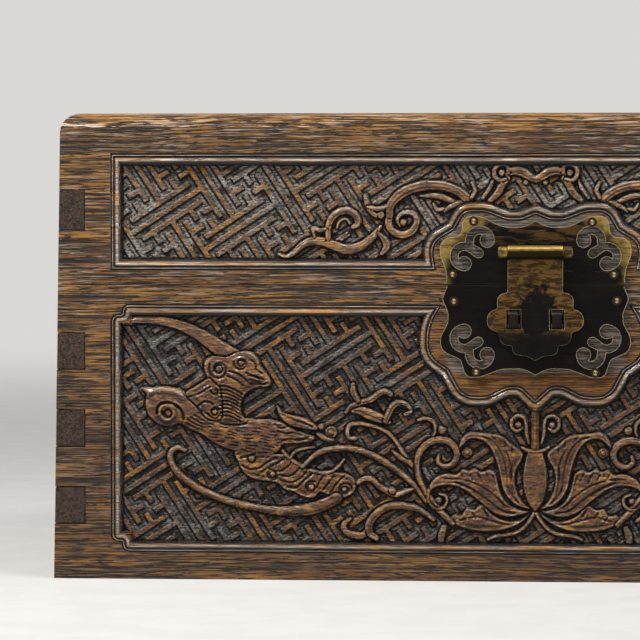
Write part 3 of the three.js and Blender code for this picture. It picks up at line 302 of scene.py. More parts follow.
PETAL_FOLDS = [
    [[-7, 32.6], [-10.8, 38], [-11.8, 45], [-13.6, 52], [-17, 57.4], [-22, 60]],
    [[-8.6, 36], [-9.6, 42], [-10, 48], [-12, 53.6]],
    [[-7, 29.4], [-12.4, 31.4], [-17.4, 36], [-23.4, 39.8], [-30, 42], [-37, 42.2]],
    [[-8.6, 28.2], [-14, 29.4], [-20, 34], [-26, 38], [-33, 41]],
    [[-31, 44.8], [-29.6, 42.6]],
    [[-27.2, 45], [-25.6, 42]],
    [[-23.8, 45], [-22, 41.4]],
    [[-20.2, 45], [-18.6, 41.4]],
    [[-17.2, 43.6], [-16.2, 40]],
    [[-4.6, 26.4], [-10, 23.8], [-17, 24.6], [-24, 26.6], [-31, 25]],
    [[-30.4, 27.2], [-28.6, 24.6]],
    [[-26.4, 29.2], [-24.4, 26]],
    [[-21.6, 30.4], [-19.4, 27]],
    [[-17.8, 60.2], [-15.8, 57.4]],
    [[-13, 59], [-12, 55.8]],
    [[-9.4, 56], [-9.6, 52.6]],
]
POD_COLLAR = [[-5.6, 55.4, 0.6], [-3.6, 54.2, 0.8], [0, 53.6, 0.9], [0.6, 53.6, 0.9]]
POD_STALK = [[0, 55.6, 1.9], [0, 62, 1.7], [0, 68, 1.8], [0, 72.5, 1.2]]
STALK_LEAF = [
    [-2.6, 57, 0.7], [-3.6, 61, 0.9], [-3.8, 65, 0.9], [-4.8, 67.6, 0.9], [-7.4, 68.4, 0.9],
    [-9.6, 66.6, 0.9],
]
STALK_CURL = [[-9.6, 66.6, 0.9], [-9.6, 63.6, 0.9], [-7.6, 62, 0.9], [-5.6, 63.2, 0.8]]

SCROLL_BODY = [
    [-106, 134.9, 0.7], [-103, 133.9, 1], [-99.8, 135.6, 1.3], [-96.4, 138.6, 1.6],
    [-92.6, 140.3, 1.8], [-88, 140.2, 1.9], [-83, 138.4, 2.1], [-78, 136.9, 2.2], [-73, 137.9, 2.1],
    [-69, 140.4, 1.8], [-66, 143.4, 1.4], [-64, 146.4, 0.8],
]
SCROLL_TAIL = [
    [-85.6, 141.4, 1.2], [-85.7, 145, 1.4], [-84.6, 149, 1.5], [-81.6, 152.2, 1.6],
    [-77.4, 152.9, 1.6], [-74, 150.6, 1.6], [-73.4, 147.4, 1.4], [-75.4, 146.2, 1],
]
SCROLL_TAIL_INNER = [[-82, 145.6, 0.6], [-81, 148.4, 0.7], [-78.4, 149.6, 0.7], [-76.6, 147.6, 0.7]]
SCROLL_HOOK = [[-91.2, 142, 0.8], [-91.8, 145.4, 1], [-89, 144.8, 1.1], [-86.4, 145.4, 0.8]]
SCROLL_LEAF = [[-70.2, 158.8, 1], [-69.4, 155.4, 1.3], [-67.4, 152.2, 1.3], [-65.4, 150.6, 1]]
SCROLL_BAND = [[-69.2, 154.6, 0.9], [-65.4, 153.7, 1.2], [-60.4, 154.4, 1.3]]
WAVE_TAIL = [[-65, 143.8, 0.9], [-62.4, 141, 1.5], [-61.4, 138, 1.6], [-63.4, 135.2, 0.9]]
SCROLL_ARCH = [
    [-60.2, 151, 1.6], [-60, 154.4, 1.8], [-58.2, 157.4, 2], [-55, 160.2, 2.2], [-51, 162.1, 2.2],
    [-46, 163.3, 2.2], [-41, 163.4, 2.1], [-36, 162.6, 2], [-31.5, 160.6, 2], [-28.2, 157.8, 2],
    [-26.4, 155.6, 1.5],
]
ARCH_SPIRAL = [
    [-60.2, 151, 1.6], [-60.6, 147.4, 1.6], [-58.8, 144.4, 1.6], [-55.2, 143, 1.6],
    [-51.4, 144.1, 1.6], [-49.2, 147.2, 1.5], [-49.6, 150.6, 1.3], [-52.4, 152.3, 1.1],
    [-55.4, 151.5, 1], [-57, 149.2, 0.9], [-55.9, 147, 0.8],
]
ARCH_TIP = [[-26.4, 158.2, 1], [-25, 161, 1], [-26.2, 164.4, 0.8]]
ARCH_UNDER = [
    [-47.6, 159, 0.5], [-44, 159.2, 1.1], [-40, 159, 1.4], [-36, 157.6, 1.3], [-32.6, 156, 0.9],
]
SMALL_HOOK = [[-42, 155.6, 0.7], [-40.6, 153.3, 0.9], [-38.2, 153.6, 0.9]]
SMALL_LEAF = [[-37.6, 152.6, 0.6], [-35, 154.6, 1.2], [-31, 156.2, 1.3], [-27.6, 156.6, 1]]
BAT_CLOUD_RING = [
    [-11.2, 168.4, 1], [-11.6, 171.2, 1], [-14, 172, 1], [-16.6, 170.6, 1.1], [-16.9, 167.4, 1.1],
    [-14.8, 165.4, 1], [-12.2, 166, 0.9],
]
BAT_CLOUD_BODY = [
    [-11.4, 168, 1.2], [-9, 169.4, 1.9], [-5.5, 168.9, 2.1], [-2.5, 167, 1.8], [0.4, 165.6, 1.4],
]
BAT_CLOUD_WING = [[-11.2, 166.2, 1], [-13.6, 163.6, 1.5], [-15.6, 160, 1.6], [-19, 156.8, 1.1]]
CLOUD_LEAF = [[-17.6, 165.4, 0.6], [-19, 162, 1], [-21.6, 158.2, 0.8]]


def length_property(name, description, millimetres, least=0):
    """A length setting, given in millimetres."""
    return bpy.props.FloatProperty(
        name=name,
        description=description,
        default=millimetres * MM,
        min=least * MM,
        unit="LENGTH",
    )


def colour_property(name, description, red, green, blue):
    """A colour setting whose default is given as eight-bit screen values."""
    return bpy.props.FloatVectorProperty(
        name=name,
        description=description,
        default=[level / 255 for level in (red, green, blue)],
        min=0,
        max=1,
        size=3,
        subtype="COLOR_GAMMA",
    )


class BoxSizes(bpy.types.PropertyGroup):
    """Sizes of the carving."""

    fret_unit: length_property(
        "Fret unit", "Distance between neighbouring bars of the fret ground", 4.47, 2
    )
    fret_bar: length_property("Fret bar", "Width of one raised bar of the fret ground", 2.25, 0.5)
    fret_angle: bpy.props.FloatProperty(
        name="Fret angle",
        description="Slant of the fret ground from the level",
        default=math.radians(33),
        subtype="ANGLE",
    )
    fret_height: length_property("Fret height", "Height of the fret bars above the ground", 0.8)
    carving_cell: length_property(
        "Carving cell", "Spacing of the carved surface's grid", 0.41, 0.3
    )
    edge_softness: length_property(
        "Edge softness", "Width of the worn bevel on the boards' edges", 0.5
    )


class BoxColours(bpy.types.PropertyGroup):
    """Colours of the wood and the brass."""

    wood: colour_property("Wood", "Main tone of the boards", 108, 72, 36)
    wood_light: colour_property("Light wood", "Tone of the rubbed grain", 164, 114, 46)
    wood_dark: colour_property("Dark wood", "Tone of the dark grain", 48, 34, 23)
    # The glint tone paints highlights: pale flecks of reflected light in the grain and on the crests
    glint: colour_property("Glint", "Tone of the polished flecks in the grain", 182, 172, 158)
    end_grain: colour_property("End grain", "Tone of the dovetails' end grain", 80, 58, 46)
    patina: colour_property("Patina", "Dusty tone of the carved ground", 126, 121, 115)
    # The hollow tone is the darkest: pores in the grain, and painted shade in cuts, grooves, under
    # ledges and on the nails' steep rims
    hollow: colour_property("Hollow", "Tone in the deepest cuts", 15, 11, 9)
    worn: colour_property("Worn wood", "Tone of the rubbed carving", 108, 63, 22)
    plate: colour_property("Lock plate", "Dark tone of the lock plates", 22, 20, 20)
    brass: colour_property("Brass", "Tone of the rubbed brass", 160, 134, 70)
    brass_dark: colour_property("Dark brass", "Tone of the tarnished brass", 58, 43, 26)
    bronze: colour_property("Hasp", "Tone of the hasp's handled face", 112, 84, 44)
    # The edge tone paints highlights: a bright line along the metal's edges and on the nails' domes
    edge: colour_property("Rubbed edge", "Tone of the metal's bright edges", 214, 200, 158)


class BoxStudio(bpy.types.PropertyGroup):
    """Sizes and levels of the stage."""

    floor: colour_property("Floor", "Tone of the floor and the backdrop", 218, 216, 212)
    distance: length_property(
        "Camera distance", "Distance from the camera to the box's face", 1500
    )
    lens: bpy.props.FloatProperty(
        name="Lens",
        description="Focal length of the camera, in millimetres",
        default=204.8,
    )
    key: bpy.props.FloatProperty(
        name="Key light",
        description="Power of the main lamp",
        default=9.6,
        unit="POWER",
    )
    air: bpy.props.FloatProperty(
        name="Light from all round",
        description="Strength of the even light from all round",
        default=0.15,
    )


# Shader building


class Value:
    """A shader value. Arithmetic on it adds the Math node that does the same."""

    def __init__(self, finish, socket):
        self.finish = finish
        self.socket = socket

    def math(self, operation, *terms):
        settings = {"operation": operation}
        return self.finish.add("ShaderNodeMath", settings, dict(enumerate(terms)))

    def __add__(self, other):
        return self.math("ADD", self, other)

    __radd__ = __add__

    def __sub__(self, other):
        return self.math("SUBTRACT", self, other)

    def __rsub__(self, other):
        return self.math("SUBTRACT", other, self)

    def __mul__(self, other):
        return self.math("MULTIPLY", self, other)

    __rmul__ = __mul__

    def __pow__(self, other):
        return self.math("POWER", self, other)

    def __abs__(self):
        return self.math("ABSOLUTE", self)

    def least(self, other):
        return self.math("MINIMUM", self, other)

    def most(self, other):
        return self.math("MAXIMUM", self, other)

    def between(self, start, end):
        """0 up to start, 1 from end on and a smooth rise between them; with start above end, 1 up
        to end and a smooth fall to 0 at start."""
        settings = {"interpolation_type": "SMOOTHSTEP", "clamp": True}
        return self.finish.add("ShaderNodeMapRange", settings, {0: self, 1: start, 2: end})


class Finish:
    """A material and the nodes that make its colour, gloss and grain."""

    def __init__(self, name, colours=None):
        self.colours = colours
        self.colour = None
        self.material = bpy.data.materials.new(name)
        self.material.use_nodes = True
        self.tree = self.material.node_tree
        self.tree.nodes.clear()
        self.shader = self.tree.nodes.new("ShaderNodeBsdfPrincipled")
        output = self.tree.nodes.new("ShaderNodeOutputMaterial")
        self.tree.links.new(self.shader.outputs[0], output.inputs[0])
        coordinates = self.tree.nodes.new("ShaderNodeTexCoord")
        self.place = Value(self, coordinates.outputs["Object"])

    def feed(self, socket, value):
        """Give a socket a shader value, a tone named in the colour settings or a plain value."""
        if isinstance(value, Value):
            self.tree.links.new(value.socket, socket)
        elif isinstance(value, str):
            socket.default_value = tone(getattr(self.colours, value))
        else:
            socket.default_value = value

    def add(self, kind, settings, inputs, output=0):
        """Add a node: its settings first, then what each input gets; returns one output."""
        node = self.tree.nodes.new(kind)
        for name, setting in settings.items():
            setattr(node, name, setting)
        for name, value in inputs.items():
            self.feed(node.inputs[name], value)
        return Value(self, node.outputs[output])

    def surface(self, **values):
        for name, value in values.items():
            self.feed(self.shader.inputs[name.replace("_", " ")], value)

    def vector(self, operation, *terms, output=0):
        settings = {"operation": operation}
        return self.add("ShaderNodeVectorMath", settings, dict(enumerate(terms)), output)

    def sway(self, along, reach):
        """Let the grain drift sideways by up to a reach, in metres, as it runs along an axis."""
        drift = self.noise(along_grain(along, 7, 16), 2) - 0.5
        aside = {0: along_grain(along, 0, 2 * reach), "Scale": drift}
        shift = self.add("ShaderNodeVectorMath", {"operation": "SCALE"}, aside)
        self.place = self.vector("ADD", self.place, shift)

    def noise(self, scales, detail, roughness=0.5, warp=0):
        """Noise over the object coordinates, with so many features to a metre along each axis."""
        inputs = {
            "Vector": self.vector("MULTIPLY", self.place, scales),
            "Scale": 1,
            "Detail": detail,
            "Roughness": roughness,
            "Distortion": warp,
        }
        return self.add("ShaderNodeTexNoise", {}, inputs)

    def axis(self, name):
        return self.add("ShaderNodeSeparateXYZ", {}, {0: self.place}, name)

    def attribute(self, name):
        settings = {"attribute_type": "GEOMETRY", "attribute_name": name}
        return self.add("ShaderNodeAttribute", settings, {}, "Fac")

    def facing(self, name):
        """How far the surface faces along one axis, from 0 to 1."""
        normal = self.add("ShaderNodeNewGeometry", {}, {}, "Normal")
        return abs(self.add("ShaderNodeSeparateXYZ", {}, {0: normal}, name))

    def edge(self, reach):
        """1 within a reach of a sharp edge and 0 elsewhere: how far a normal that is rounded over
        that reach turns from the true one."""
        rounded = self.add("ShaderNodeBevel", {"samples": 4}, {"Radius": reach})
        normal = self.add("ShaderNodeNewGeometry", {}, {}, "True Normal")
        same = self.vector("DOT_PRODUCT", rounded, normal, output="Value")
        return same.between(0.995, 0.9)

    def mix(self, amount, first, second):
        """A colour that goes from first to second as amount goes from 0 to 1."""
        inputs = {0: amount, 6: first, 7: second}
        return self.add("ShaderNodeMix", {"data_type": "RGBA"}, inputs, 2)

    def layer(self, amount, top):
        """Lay a tone or a colour over the colour so far, by an amount from 0 to 1."""
        self.colour = self.mix(amount, self.colour, top)

    def bump(self, height, distance, strength):
        inputs = {"Strength": strength, "Distance": distance, "Height": height}
        normal = self.add("ShaderNodeBump", {}, inputs)
        self.surface(Normal=normal)


def tone(setting):
    """A screen colour as the linear colour a shader needs, with an alpha of 1."""
    levels = np.array(setting[:])
    low = levels / 12.92
    high = ((levels + 0.055) / 1.055) ** 2.4
    return [*np.where(levels <= 0.04045, low, high), 1]


def along_grain(along, run, across):
    """Scales for the three axes: run along the grain and across over the other two."""
    return [run if name == along else across for name in "XYZ"]


def grained(finish, along):
    """Grain that runs along one axis: broad figure, bands, fine dark ticks and pale flecks."""
    figure = finish.noise(along_grain(along, 4, 40), 3, 0.6, 0.8)
    bands = finish.noise(along_grain(along, 8, 460), 4, 0.7, 0.5)
    long_ticks = finish.noise(along_grain(along, 28, 1500), 3, 0.6, 0.3)
    short_ticks = finish.noise(along_grain(along, 120, 1600), 3, 0.65, 0.3)
    ticks = long_ticks.most(short_ticks - 0.01) - 0.02
    flecks = finish.noise(along_grain(along, 70, 1500), 2, 0.6)
    return figure, bands, ticks, flecks


def board_finish(name, colours, along, rubbed=0):
    """Oiled hardwood: golden patches, dark bands and ticks, pale flecks of painted highlight and dull
    end grain. Higher up the boards, more golden wood and more painted highlight flecks paint a sheen
    of stronger light. Boards along X are worn brown under the lock and grey close round it, on their
    face.

    rubbed from 0 to 1 turns it into the more golden wood of a board that hands polish, with a painted
    sheen of more golden wood and more painted highlight flecks, and less contrast in the grain of its
    flat top."""
    finish = Finish(name, colours)
    end = finish.facing(along).between(0.7, 0.95)
    across = abs(finish.axis("X")) * 1000
    up = finish.axis("Z") * 1000
    face = 1 - abs(finish.axis("Y") * 1000 - FACE_Y).between(1, 3)
    # Less contrast on the flat top
    calm = 1 - 0.45 * rubbed * finish.facing("Z").between(0.75, 0.99)
    finish.sway(along, 0.0025)
    figure, bands, ticks, flecks = grained(finish, along)
    patchy = finish.noise(along_grain(along, 34, 110), 3, 0.6)
    # Painted sheen: the wood turns more golden and takes more painted highlight flecks higher up
    sheen = up.between(30, 190)
    # The worn wood under the lock
    warm = (1 - across.between(38, 44)) * (1 - up.between(96, 112)) * up.between(74, 78)
    rubbing = 0.2 * (calm - 0.4) * rubbed + 0.08 * warm + 0.07 * sheen
    golden = (figure * 0.6 + patchy * 0.4 + rubbing).between(0.42, 0.64) * 0.9
    finish.colour = finish.mix(golden, "wood", "wood_light")
    finish.layer((bands - 0.04 * rubbed).between(0.48, 0.6) * 0.72, "wood_dark")
    finish.layer((ticks - 0.01 * rubbed).between(0.505, 0.54) * 0.94 * calm, "hollow")
    # Painted highlights: pale flecks of reflected light, more of them higher up and on the rubbed top
    pale = flecks.between(0.52 - 0.03 * rubbed, 0.58) * ticks.between(0.53, 0.46)
    dull = golden.between(1.2 + rubbed, 0.2)
    finish.layer(pale * calm * dull * (0.16 + 0.42 * sheen + 0.25 * rubbed), "glint")
    finish.layer(warm * face * 0.45, "worn")
    speckle = finish.noise((1100, 1100, 1100), 3, 0.7).between(0.42, 0.6)
    finish.layer(end * 0.92, finish.mix(speckle, "end_grain", "hollow"))
    if along == "X":
        # The grey wood close round the lock
        lock = (1 - across.between(35, 38.5)) * up.between(85, 87) * (1 - up.between(148, 153))
        finish.layer(lock * face * (0.3 + 0.6 * ticks.between(0.56, 0.46)), "patina")
    finish.surface(
        Base_Color=finish.colour,
        Roughness=0.28 + 0.3 * bands.between(0.4, 0.7),
        Specular_IOR_Level=0.3,
    )
    finish.bump((bands * 0.25 + ticks.between(0.62, 0.46) * 0.75) * calm, 0.0005, 1)
    return finish.material


def carved_finish(name, colours, painted_light=0):
    """Carved hardwood: grit and dust on the ground, worn bars and rubbed brown forms; cuts,
    down-facing ledges and the feet of the bars darkened as painted shade, and crests and up-facing
    ledges paled partly by wear and partly as painted highlight, with painted highlight spots and a
    coat of wax on the forms that grows stronger higher up. The last argument, from 0 to 1, paints
    more light: it pales the ground and the crests."""
    finish = Finish(name, colours)
    relief = finish.attribute("relief")
    wear = finish.attribute("wear")
    up = finish.axis("Z") * 1000
    bands = finish.noise((130, 420, 420), 3, 0.6, 0.5)
    ticks = finish.noise((240, 1300, 1300), 3, 0.65, 0.4)
    grit = finish.noise((700, 700, 1300), 3, 0.7)
    patchy = finish.noise((34, 60, 60), 4, 0.65)
    fine = finish.noise((110, 200, 200), 3, 0.6)
    form = relief.between(0.42, 0.62)
    bar = relief.between(0.1, 0.3) * (1 - form)
    # Painted light: the ground paled toward the glint tone by the last argument
    painted_lit_ground = finish.mix(0.55 * painted_light, "patina", "glint")
    finish.colour = finish.mix((fine - 0.06 * painted_light).between(0.42, 0.6), painted_lit_ground, "wood_dark")
    finish.layer((grit - 0.03 * painted_light).between(0.46, 0.58) * 0.85, "hollow")
    golden = finish.mix((fine + 0.06 * painted_light).between(0.49, 0.63), "worn", "wood_light")
    low = up.between(100, 50)
    rubbed = finish.mix(bands.between(0.5, 0.62) * (0.5 + 0.3 * low), golden, "wood_dark")
    finish.layer(form * 0.98 + bar * patchy.between(0.38, 0.54) * 0.85, rubbed)
    # Crests and up-facing ledges lightened, partly as wear and partly as painted highlight
    finish.layer(wear.between(0.2, 0.9) * (0.4 + 0.3 * painted_light), "wood_light")
    # Painted highlights: pale spots, and glints on the crests and up-facing ledges
    pale = finish.noise((420, 1400, 1400), 2, 0.6).between(0.53, 0.63)
    spots = pale * (0.04 + (0.6 + 0.2 * painted_light) * wear.between(0.2, 0.8))
    lit = spots + (0.26 + 0.25 * painted_light) * wear.between(0.3, 0.8)
    finish.layer(lit.least(0.85), "glint")
    # Painted shade: dark in the cuts, on down-facing ledges and at the feet of the bars
    finish.layer((0 - wear).between(0, 0.3) * 0.97, "hollow")
    finish.layer(ticks.between(0.52, 0.6) * 0.7, "hollow")
    finish.surface(
        Base_Color=finish.colour,
        Roughness=0.24 + 0.3 * grit.between(0.4, 0.65),
        Specular_IOR_Level=0.35,
        Coat_Weight=(form + bar * 0.4) * (0.12 + 0.38 * up.between(50, 120)),
        Coat_Roughness=0.1,
    )
    finish.bump(grit * 0.5 + bands * 0.2 + ticks.between(0.62, 0.46) * 0.45, 0.0009, 1)
    return finish.material


def moulding_finish(name, colours):
    """Rubbed brown beads with a painted highlight along their crests, between grooves painted black
    as shade.
    """
    finish = Finish(name, colours)
    wear = finish.attribute("wear")
    _, bands, ticks, flecks = grained(finish, "X")
    patchy = finish.noise((30, 60, 60), 3, 0.6)
    finish.colour = finish.mix(patchy.between(0.42, 0.6), "worn", "wood_light")
    finish.layer(bands.between(0.46, 0.62) * 0.8, "wood_dark")
    # Painted highlight along the crests, and painted shade in the grooves
    pale = flecks.between(0.46, 0.56) * 0.5 + patchy.between(0.6, 0.44) * 0.5
    finish.layer(wear.between(0.15, 0.65) * pale, "glint")
    finish.layer((0 - wear).between(0, 0.35), "hollow")
    finish.layer(ticks.between(0.52, 0.6) * 0.7, "hollow")
    finish.surface(
        Base_Color=finish.colour,
        Roughness=0.24 + 0.25 * bands.between(0.4, 0.65),
        Specular_IOR_Level=0.5,
        Coat_Weight=0.5,
        Coat_Roughness=0.1,
    )
    finish.bump(bands * 0.4 + ticks.between(0.62, 0.46) * 0.6, 0.0005, 1)
    return finish.material


def brass_finish(name, colours, light, dark, share, gloss):
    """Old brass: rubbed metal in a light tone showing through tarnish in a dark one, with fine
    scratches. share is how much of the surface is tarnished, from 0 to 1."""
    finish = Finish(name, colours)
    cloud = finish.noise((160, 160, 160), 4, 0.65)
    fine = finish.noise((400, 400, 2600), 2, 0.5)
    tarnish = (cloud + share - 0.5).between(0.38, 0.62)
    finish.colour = finish.mix(tarnish, light, dark)
    finish.layer(fine.between(0.55, 0.7) * 0.35, dark)
    finish.surface(
        Base_Color=finish.colour,
        Roughness=gloss + 0.25 * tarnish,
        Metallic=1 - 0.25 * tarnish,
    )
    finish.bump(cloud * 0.6 + fine * 0.4, 0.0002, 0.5)
    return finish.material


def nail_finish(name, colours):
    """Domed nail: bronze, dark where it is flat, with painted shade in black where the rim is steep
    and a painted highlight above and below the middle of the dome."""
    finish = Finish(name, colours)
    cloud = finish.noise((900, 900, 900), 3, 0.6)
    front = finish.facing("Y")
    dome = front.between(0.985, 0.96)
    finish.colour = finish.mix(dome, "brass_dark", "bronze")
    # Painted shade: black where the rim is steep
    finish.layer(dome * front.between(0.8, 0.5) * 0.9, "hollow")
    # Painted highlight above and below the middle of the dome
    tilted = finish.facing("Z").between(0.14, 0.3)
    bright = dome * front.between(0.88, 0.93) * tilted * (0.5 + 0.5 * cloud.between(0.4, 0.6))
    finish.layer(bright * 0.8, "edge")
    finish.surface(
        Base_Color=finish.colour,
        Roughness=0.16 + 0.2 * cloud,
        Metallic=0.75,
    )
    finish.bump(cloud, 0.0001, 0.5)
    return finish.material


def plate_finish(name, colours, golden):
    """Lock plate: nearly black with faint level streaks and a painted highlight as a bright line
    along its edges, faint along the seam. The amount golden, from 0 to 1, rubs the outer lobes to
    gold and browns the middle near the top."""
    finish = Finish(name, colours)
    across = abs(finish.axis("X")) * 1000
    up = finish.axis("Z") * 1000
    cloud = finish.noise((120, 120, 120), 4, 0.6)
    streak = finish.noise((90, 520, 520), 4, 0.7, 0.6)
    rise = abs(up - SEAM_Z)
    reach = (across * across + rise * rise * 1.5) ** 0.5
    rubbed = (reach + cloud * 20).between(44, 52) * golden
    middle = (1 - across.between(14, 26)) * up.between(138, 141)
    browned = streak.between(0.46, 0.58) * (0.02 + 0.5 * golden * middle)
    finish.colour = finish.mix(browned, "plate", "bronze")
    gilt = finish.mix(streak.between(0.48, 0.6), "brass", "bronze")
    finish.layer(rubbed * (0.97 - 0.3 * cloud.between(0.5, 0.64)), gilt)
    # Painted highlight: a bright line along the edges, faint along the seam between the plates
    edge = finish.edge(0.0005) * (0.05 + 0.95 * rise.between(0.6, 1.2))
    finish.layer(edge, "edge")
    finish.surface(
        Base_Color=finish.colour,
        Roughness=0.4 - 0.14 * rubbed + 0.1 * cloud - 0.1 * edge,
        Metallic=0.8 - 0.4 * rubbed - 0.2 * edge,
        Specular_IOR_Level=0.2,
    )
    finish.bump(streak * 0.5 + cloud * 0.5, 0.0002, 0.6)
    return finish.material


def hasp_finish(name, colours):
    """Hasp: handled bronze with dark level streaks, blackened from the middle of the blade down, gold
    on the barrel with painted shade darkening its underside, and a painted highlight as a bright line
    along its edges."""
    finish = Finish(name, colours)
    across = abs(finish.axis("X")) * 1000
    up = finish.axis("Z") * 1000
    cloud = finish.noise((130, 260, 420), 5, 0.75, 0.8)
    blotch = finish.noise((240, 240, 240), 4, 0.75, 0.6)
    barrel = up.between(PIN_Z - 3.6, PIN_Z - 2.8)
    rise = up - BLADE_Z
    middle = (across * across * 1.3 + rise * rise * 0.6) ** 0.5
    low = (up + blotch * 6).between(109, 103)
    black = ((blotch - 0.5) * 26 + 8.5 - middle).between(-2, 1.5).most(low) * (1 - barrel)
    finish.colour = finish.mix(cloud.between(0.44, 0.53), "bronze", "brass_dark")
    finish.layer(black * 0.98, "plate")
    # Painted shade: the barrel dark below just over its axis
    under = (up + blotch * 1.6).between(PIN_Z + 3, PIN_Z + 0.9)
    gilt = finish.mix(cloud.between(0.45, 0.6) * 0.5, "brass", "bronze")
    finish.layer(barrel, finish.mix(under * 0.95, gilt, "plate"))
    patches = 0.3 + 0.6 * blotch.between(0.4, 0.55)
    # Painted highlight: a bright line along the edges, in patches and fainter low down
    edge = finish.edge(0.0004) * (1 - barrel) * patches * (1 - 0.6 * low)
    finish.layer(edge, "edge")
    finish.surface(
        Base_Color=finish.colour,
        Roughness=0.42 + 0.12 * cloud,
        Metallic=0.8 + 0.2 * barrel - 0.2 * edge,
        Specular_IOR_Level=0.3,
    )
    finish.bump(cloud * 0.5 + blotch * 0.5, 0.0003, 0.6)
    return finish.material


# Shapes


def rounded_outline(corners, inset=0):
    """Closed outline through corners [x, z, rounding], moved inwards by inset.

    Each corner moves along its mitre. Its arc keeps its centre, so the rounding shrinks by the
    inset at an outward corner and grows by it at an inward one."""
    points = np.array(corners, float)
    spot = points[:, :2]
    arriving = spot - np.roll(spot, 1, 0)
    arriving /= np.linalg.norm(arriving, axis=1)[:, None]
    leaving = np.roll(arriving, -1, 0)
    inward = np.stack([-arriving[:, 1], arriving[:, 0]], 1)
    inward_next = np.stack([-leaving[:, 1], leaving[:, 0]], 1)
    spread = 1 + (inward * inward_next).sum(1)
    corner = spot + inset * (inward + inward_next) / spread[:, None]
    crossing = arriving[:, 0] * leaving[:, 1] - arriving[:, 1] * leaving[:, 0]
    turn = np.arctan2(crossing, (arriving * leaving).sum(1))
    side = np.sign(turn)
    radius = np.maximum(points[:, 2] - side * inset, 0)
    run = radius * np.tan(np.abs(turn) / 2)
    start = corner - arriving * run[:, None]
    centre = start + inward * (side * radius)[:, None]
    angle = turn[:, None] * np.linspace(0, 1, ARC_STEPS + 1)
    spoke = start - centre
    x = centre[:, :1] + spoke[:, :1] * np.cos(angle) - spoke[:, 1:] * np.sin(angle)
    z = centre[:, 1:] + spoke[:, :1] * np.sin(angle) + spoke[:, 1:] * np.cos(angle)
    return np.stack([x.ravel(), z.ravel()], 1)


def mirrored(half):
    """Corners of one half followed by their mirror image, without repeating the middle one."""
    corners = np.array(half, float)
    other = corners[:0:-1] * [-1, 1, 1]
    return np.vstack([corners, other])


def curve_through(points):
    """Smooth curve through the points, with a Catmull-Rom cubic in each span."""
    given = np.array(points, float)
    ends = np.vstack([2 * given[0] - given[1], given, 2 * given[-1] - given[-2]])
    return np.vstack([cubic_spans(ends, RIB_STEPS), given[-1]])


def curve_round(points):
    """Smooth closed curve through the points, with the same cubic."""
    given = np.array(points, float)
    return cubic_spans(np.vstack([given[-1], given, given[:2]]), LEAF_STEPS)


def cubic_spans(points, steps):
    """Steps along the Catmull-Rom cubic between each point and the next, from the second point to
    the last but one."""
    a, b, c, d = (points[k : len(points) - 3 + k, None] for k in range(4))
    t = np.linspace(0, 1, steps, endpoint=False)[None, :, None]
    cubic = 2 * b + (c - a) * t + (2 * a - 5 * b + 4 * c - d) * t**2 + (3 * b - a - 3 * c + d) * t**3
    return 0.5 * cubic.reshape(-1, points.shape[1])


def smooth(value):
    """0 below 0, 1 above 1, and 3v^2 - 2v^3 between."""
    level = np.clip(value, 0, 1)
    return level * level * (3 - 2 * level)


def ridge(distance, place, width):
    """1 at a place and less on both sides of it: exp(-((distance - place) / width)^2)."""
    return np.exp(-(((distance - place) / width) ** 2))


def nearest(x, z, start, end):
    """For each point of a grid: distance to the nearest segment, its number, how far along it the
    nearest place is, from 0 to 1, and the side the point is on, 1 or -1."""
    run = end[:, :2] - start[:, :2]
    length = np.maximum((run**2).sum(1), 1e-9)
    from_x = x.reshape(-1, 1) - start[:, 0]
    from_z = z.reshape(-1, 1) - start[:, 1]
    part = np.clip((from_x * run[:, 0] + from_z * run[:, 1]) / length, 0, 1)
    gap = np.hypot(from_x - part * run[:, 0], from_z - part * run[:, 1])
    number = gap.argmin(1)
    rows = np.arange(len(number))
    side = np.sign(from_x[rows, number] * run[number, 1] - from_z[rows, number] * run[number, 0])
    shape = x.shape
    found = (gap[rows, number], number, part[rows, number], side)
    return [each.reshape(shape) for each in found]


def depth_inside(x, z, outline):
    """Distance from a closed outline, positive inside it and negative outside."""
    end = np.roll(outline, -1, 0)
    gap = nearest(x, z, outline, end)[0]
    px = x.reshape(-1, 1)
    pz = z.reshape(-1, 1)
    over = (outline[:, 1] > pz) != (end[:, 1] > pz)
    rise = np.where(end[:, 1] == outline[:, 1], 1e-9, end[:, 1] - outline[:, 1])
    crossing = outline[:, 0] + (pz - outline[:, 1]) * (end[:, 0] - outline[:, 0]) / rise
    inside = ((over & (px < crossing)).sum(1) % 2 == 1).reshape(x.shape)
    return np.where(inside, gap, -gap)


def softened(field, reach):
    """Mean of the field over a square of cells reaching so far each way, by running sums."""
    span = 2 * reach + 1
    padded = np.pad(field, ((reach + 1, reach), (reach + 1, reach)), mode="edge")
    total = padded.cumsum(0).cumsum(1)
    square = total[span:, span:] - total[:-span, span:] - total[span:, :-span] + total[:-span, :-span]
    return square / span**2


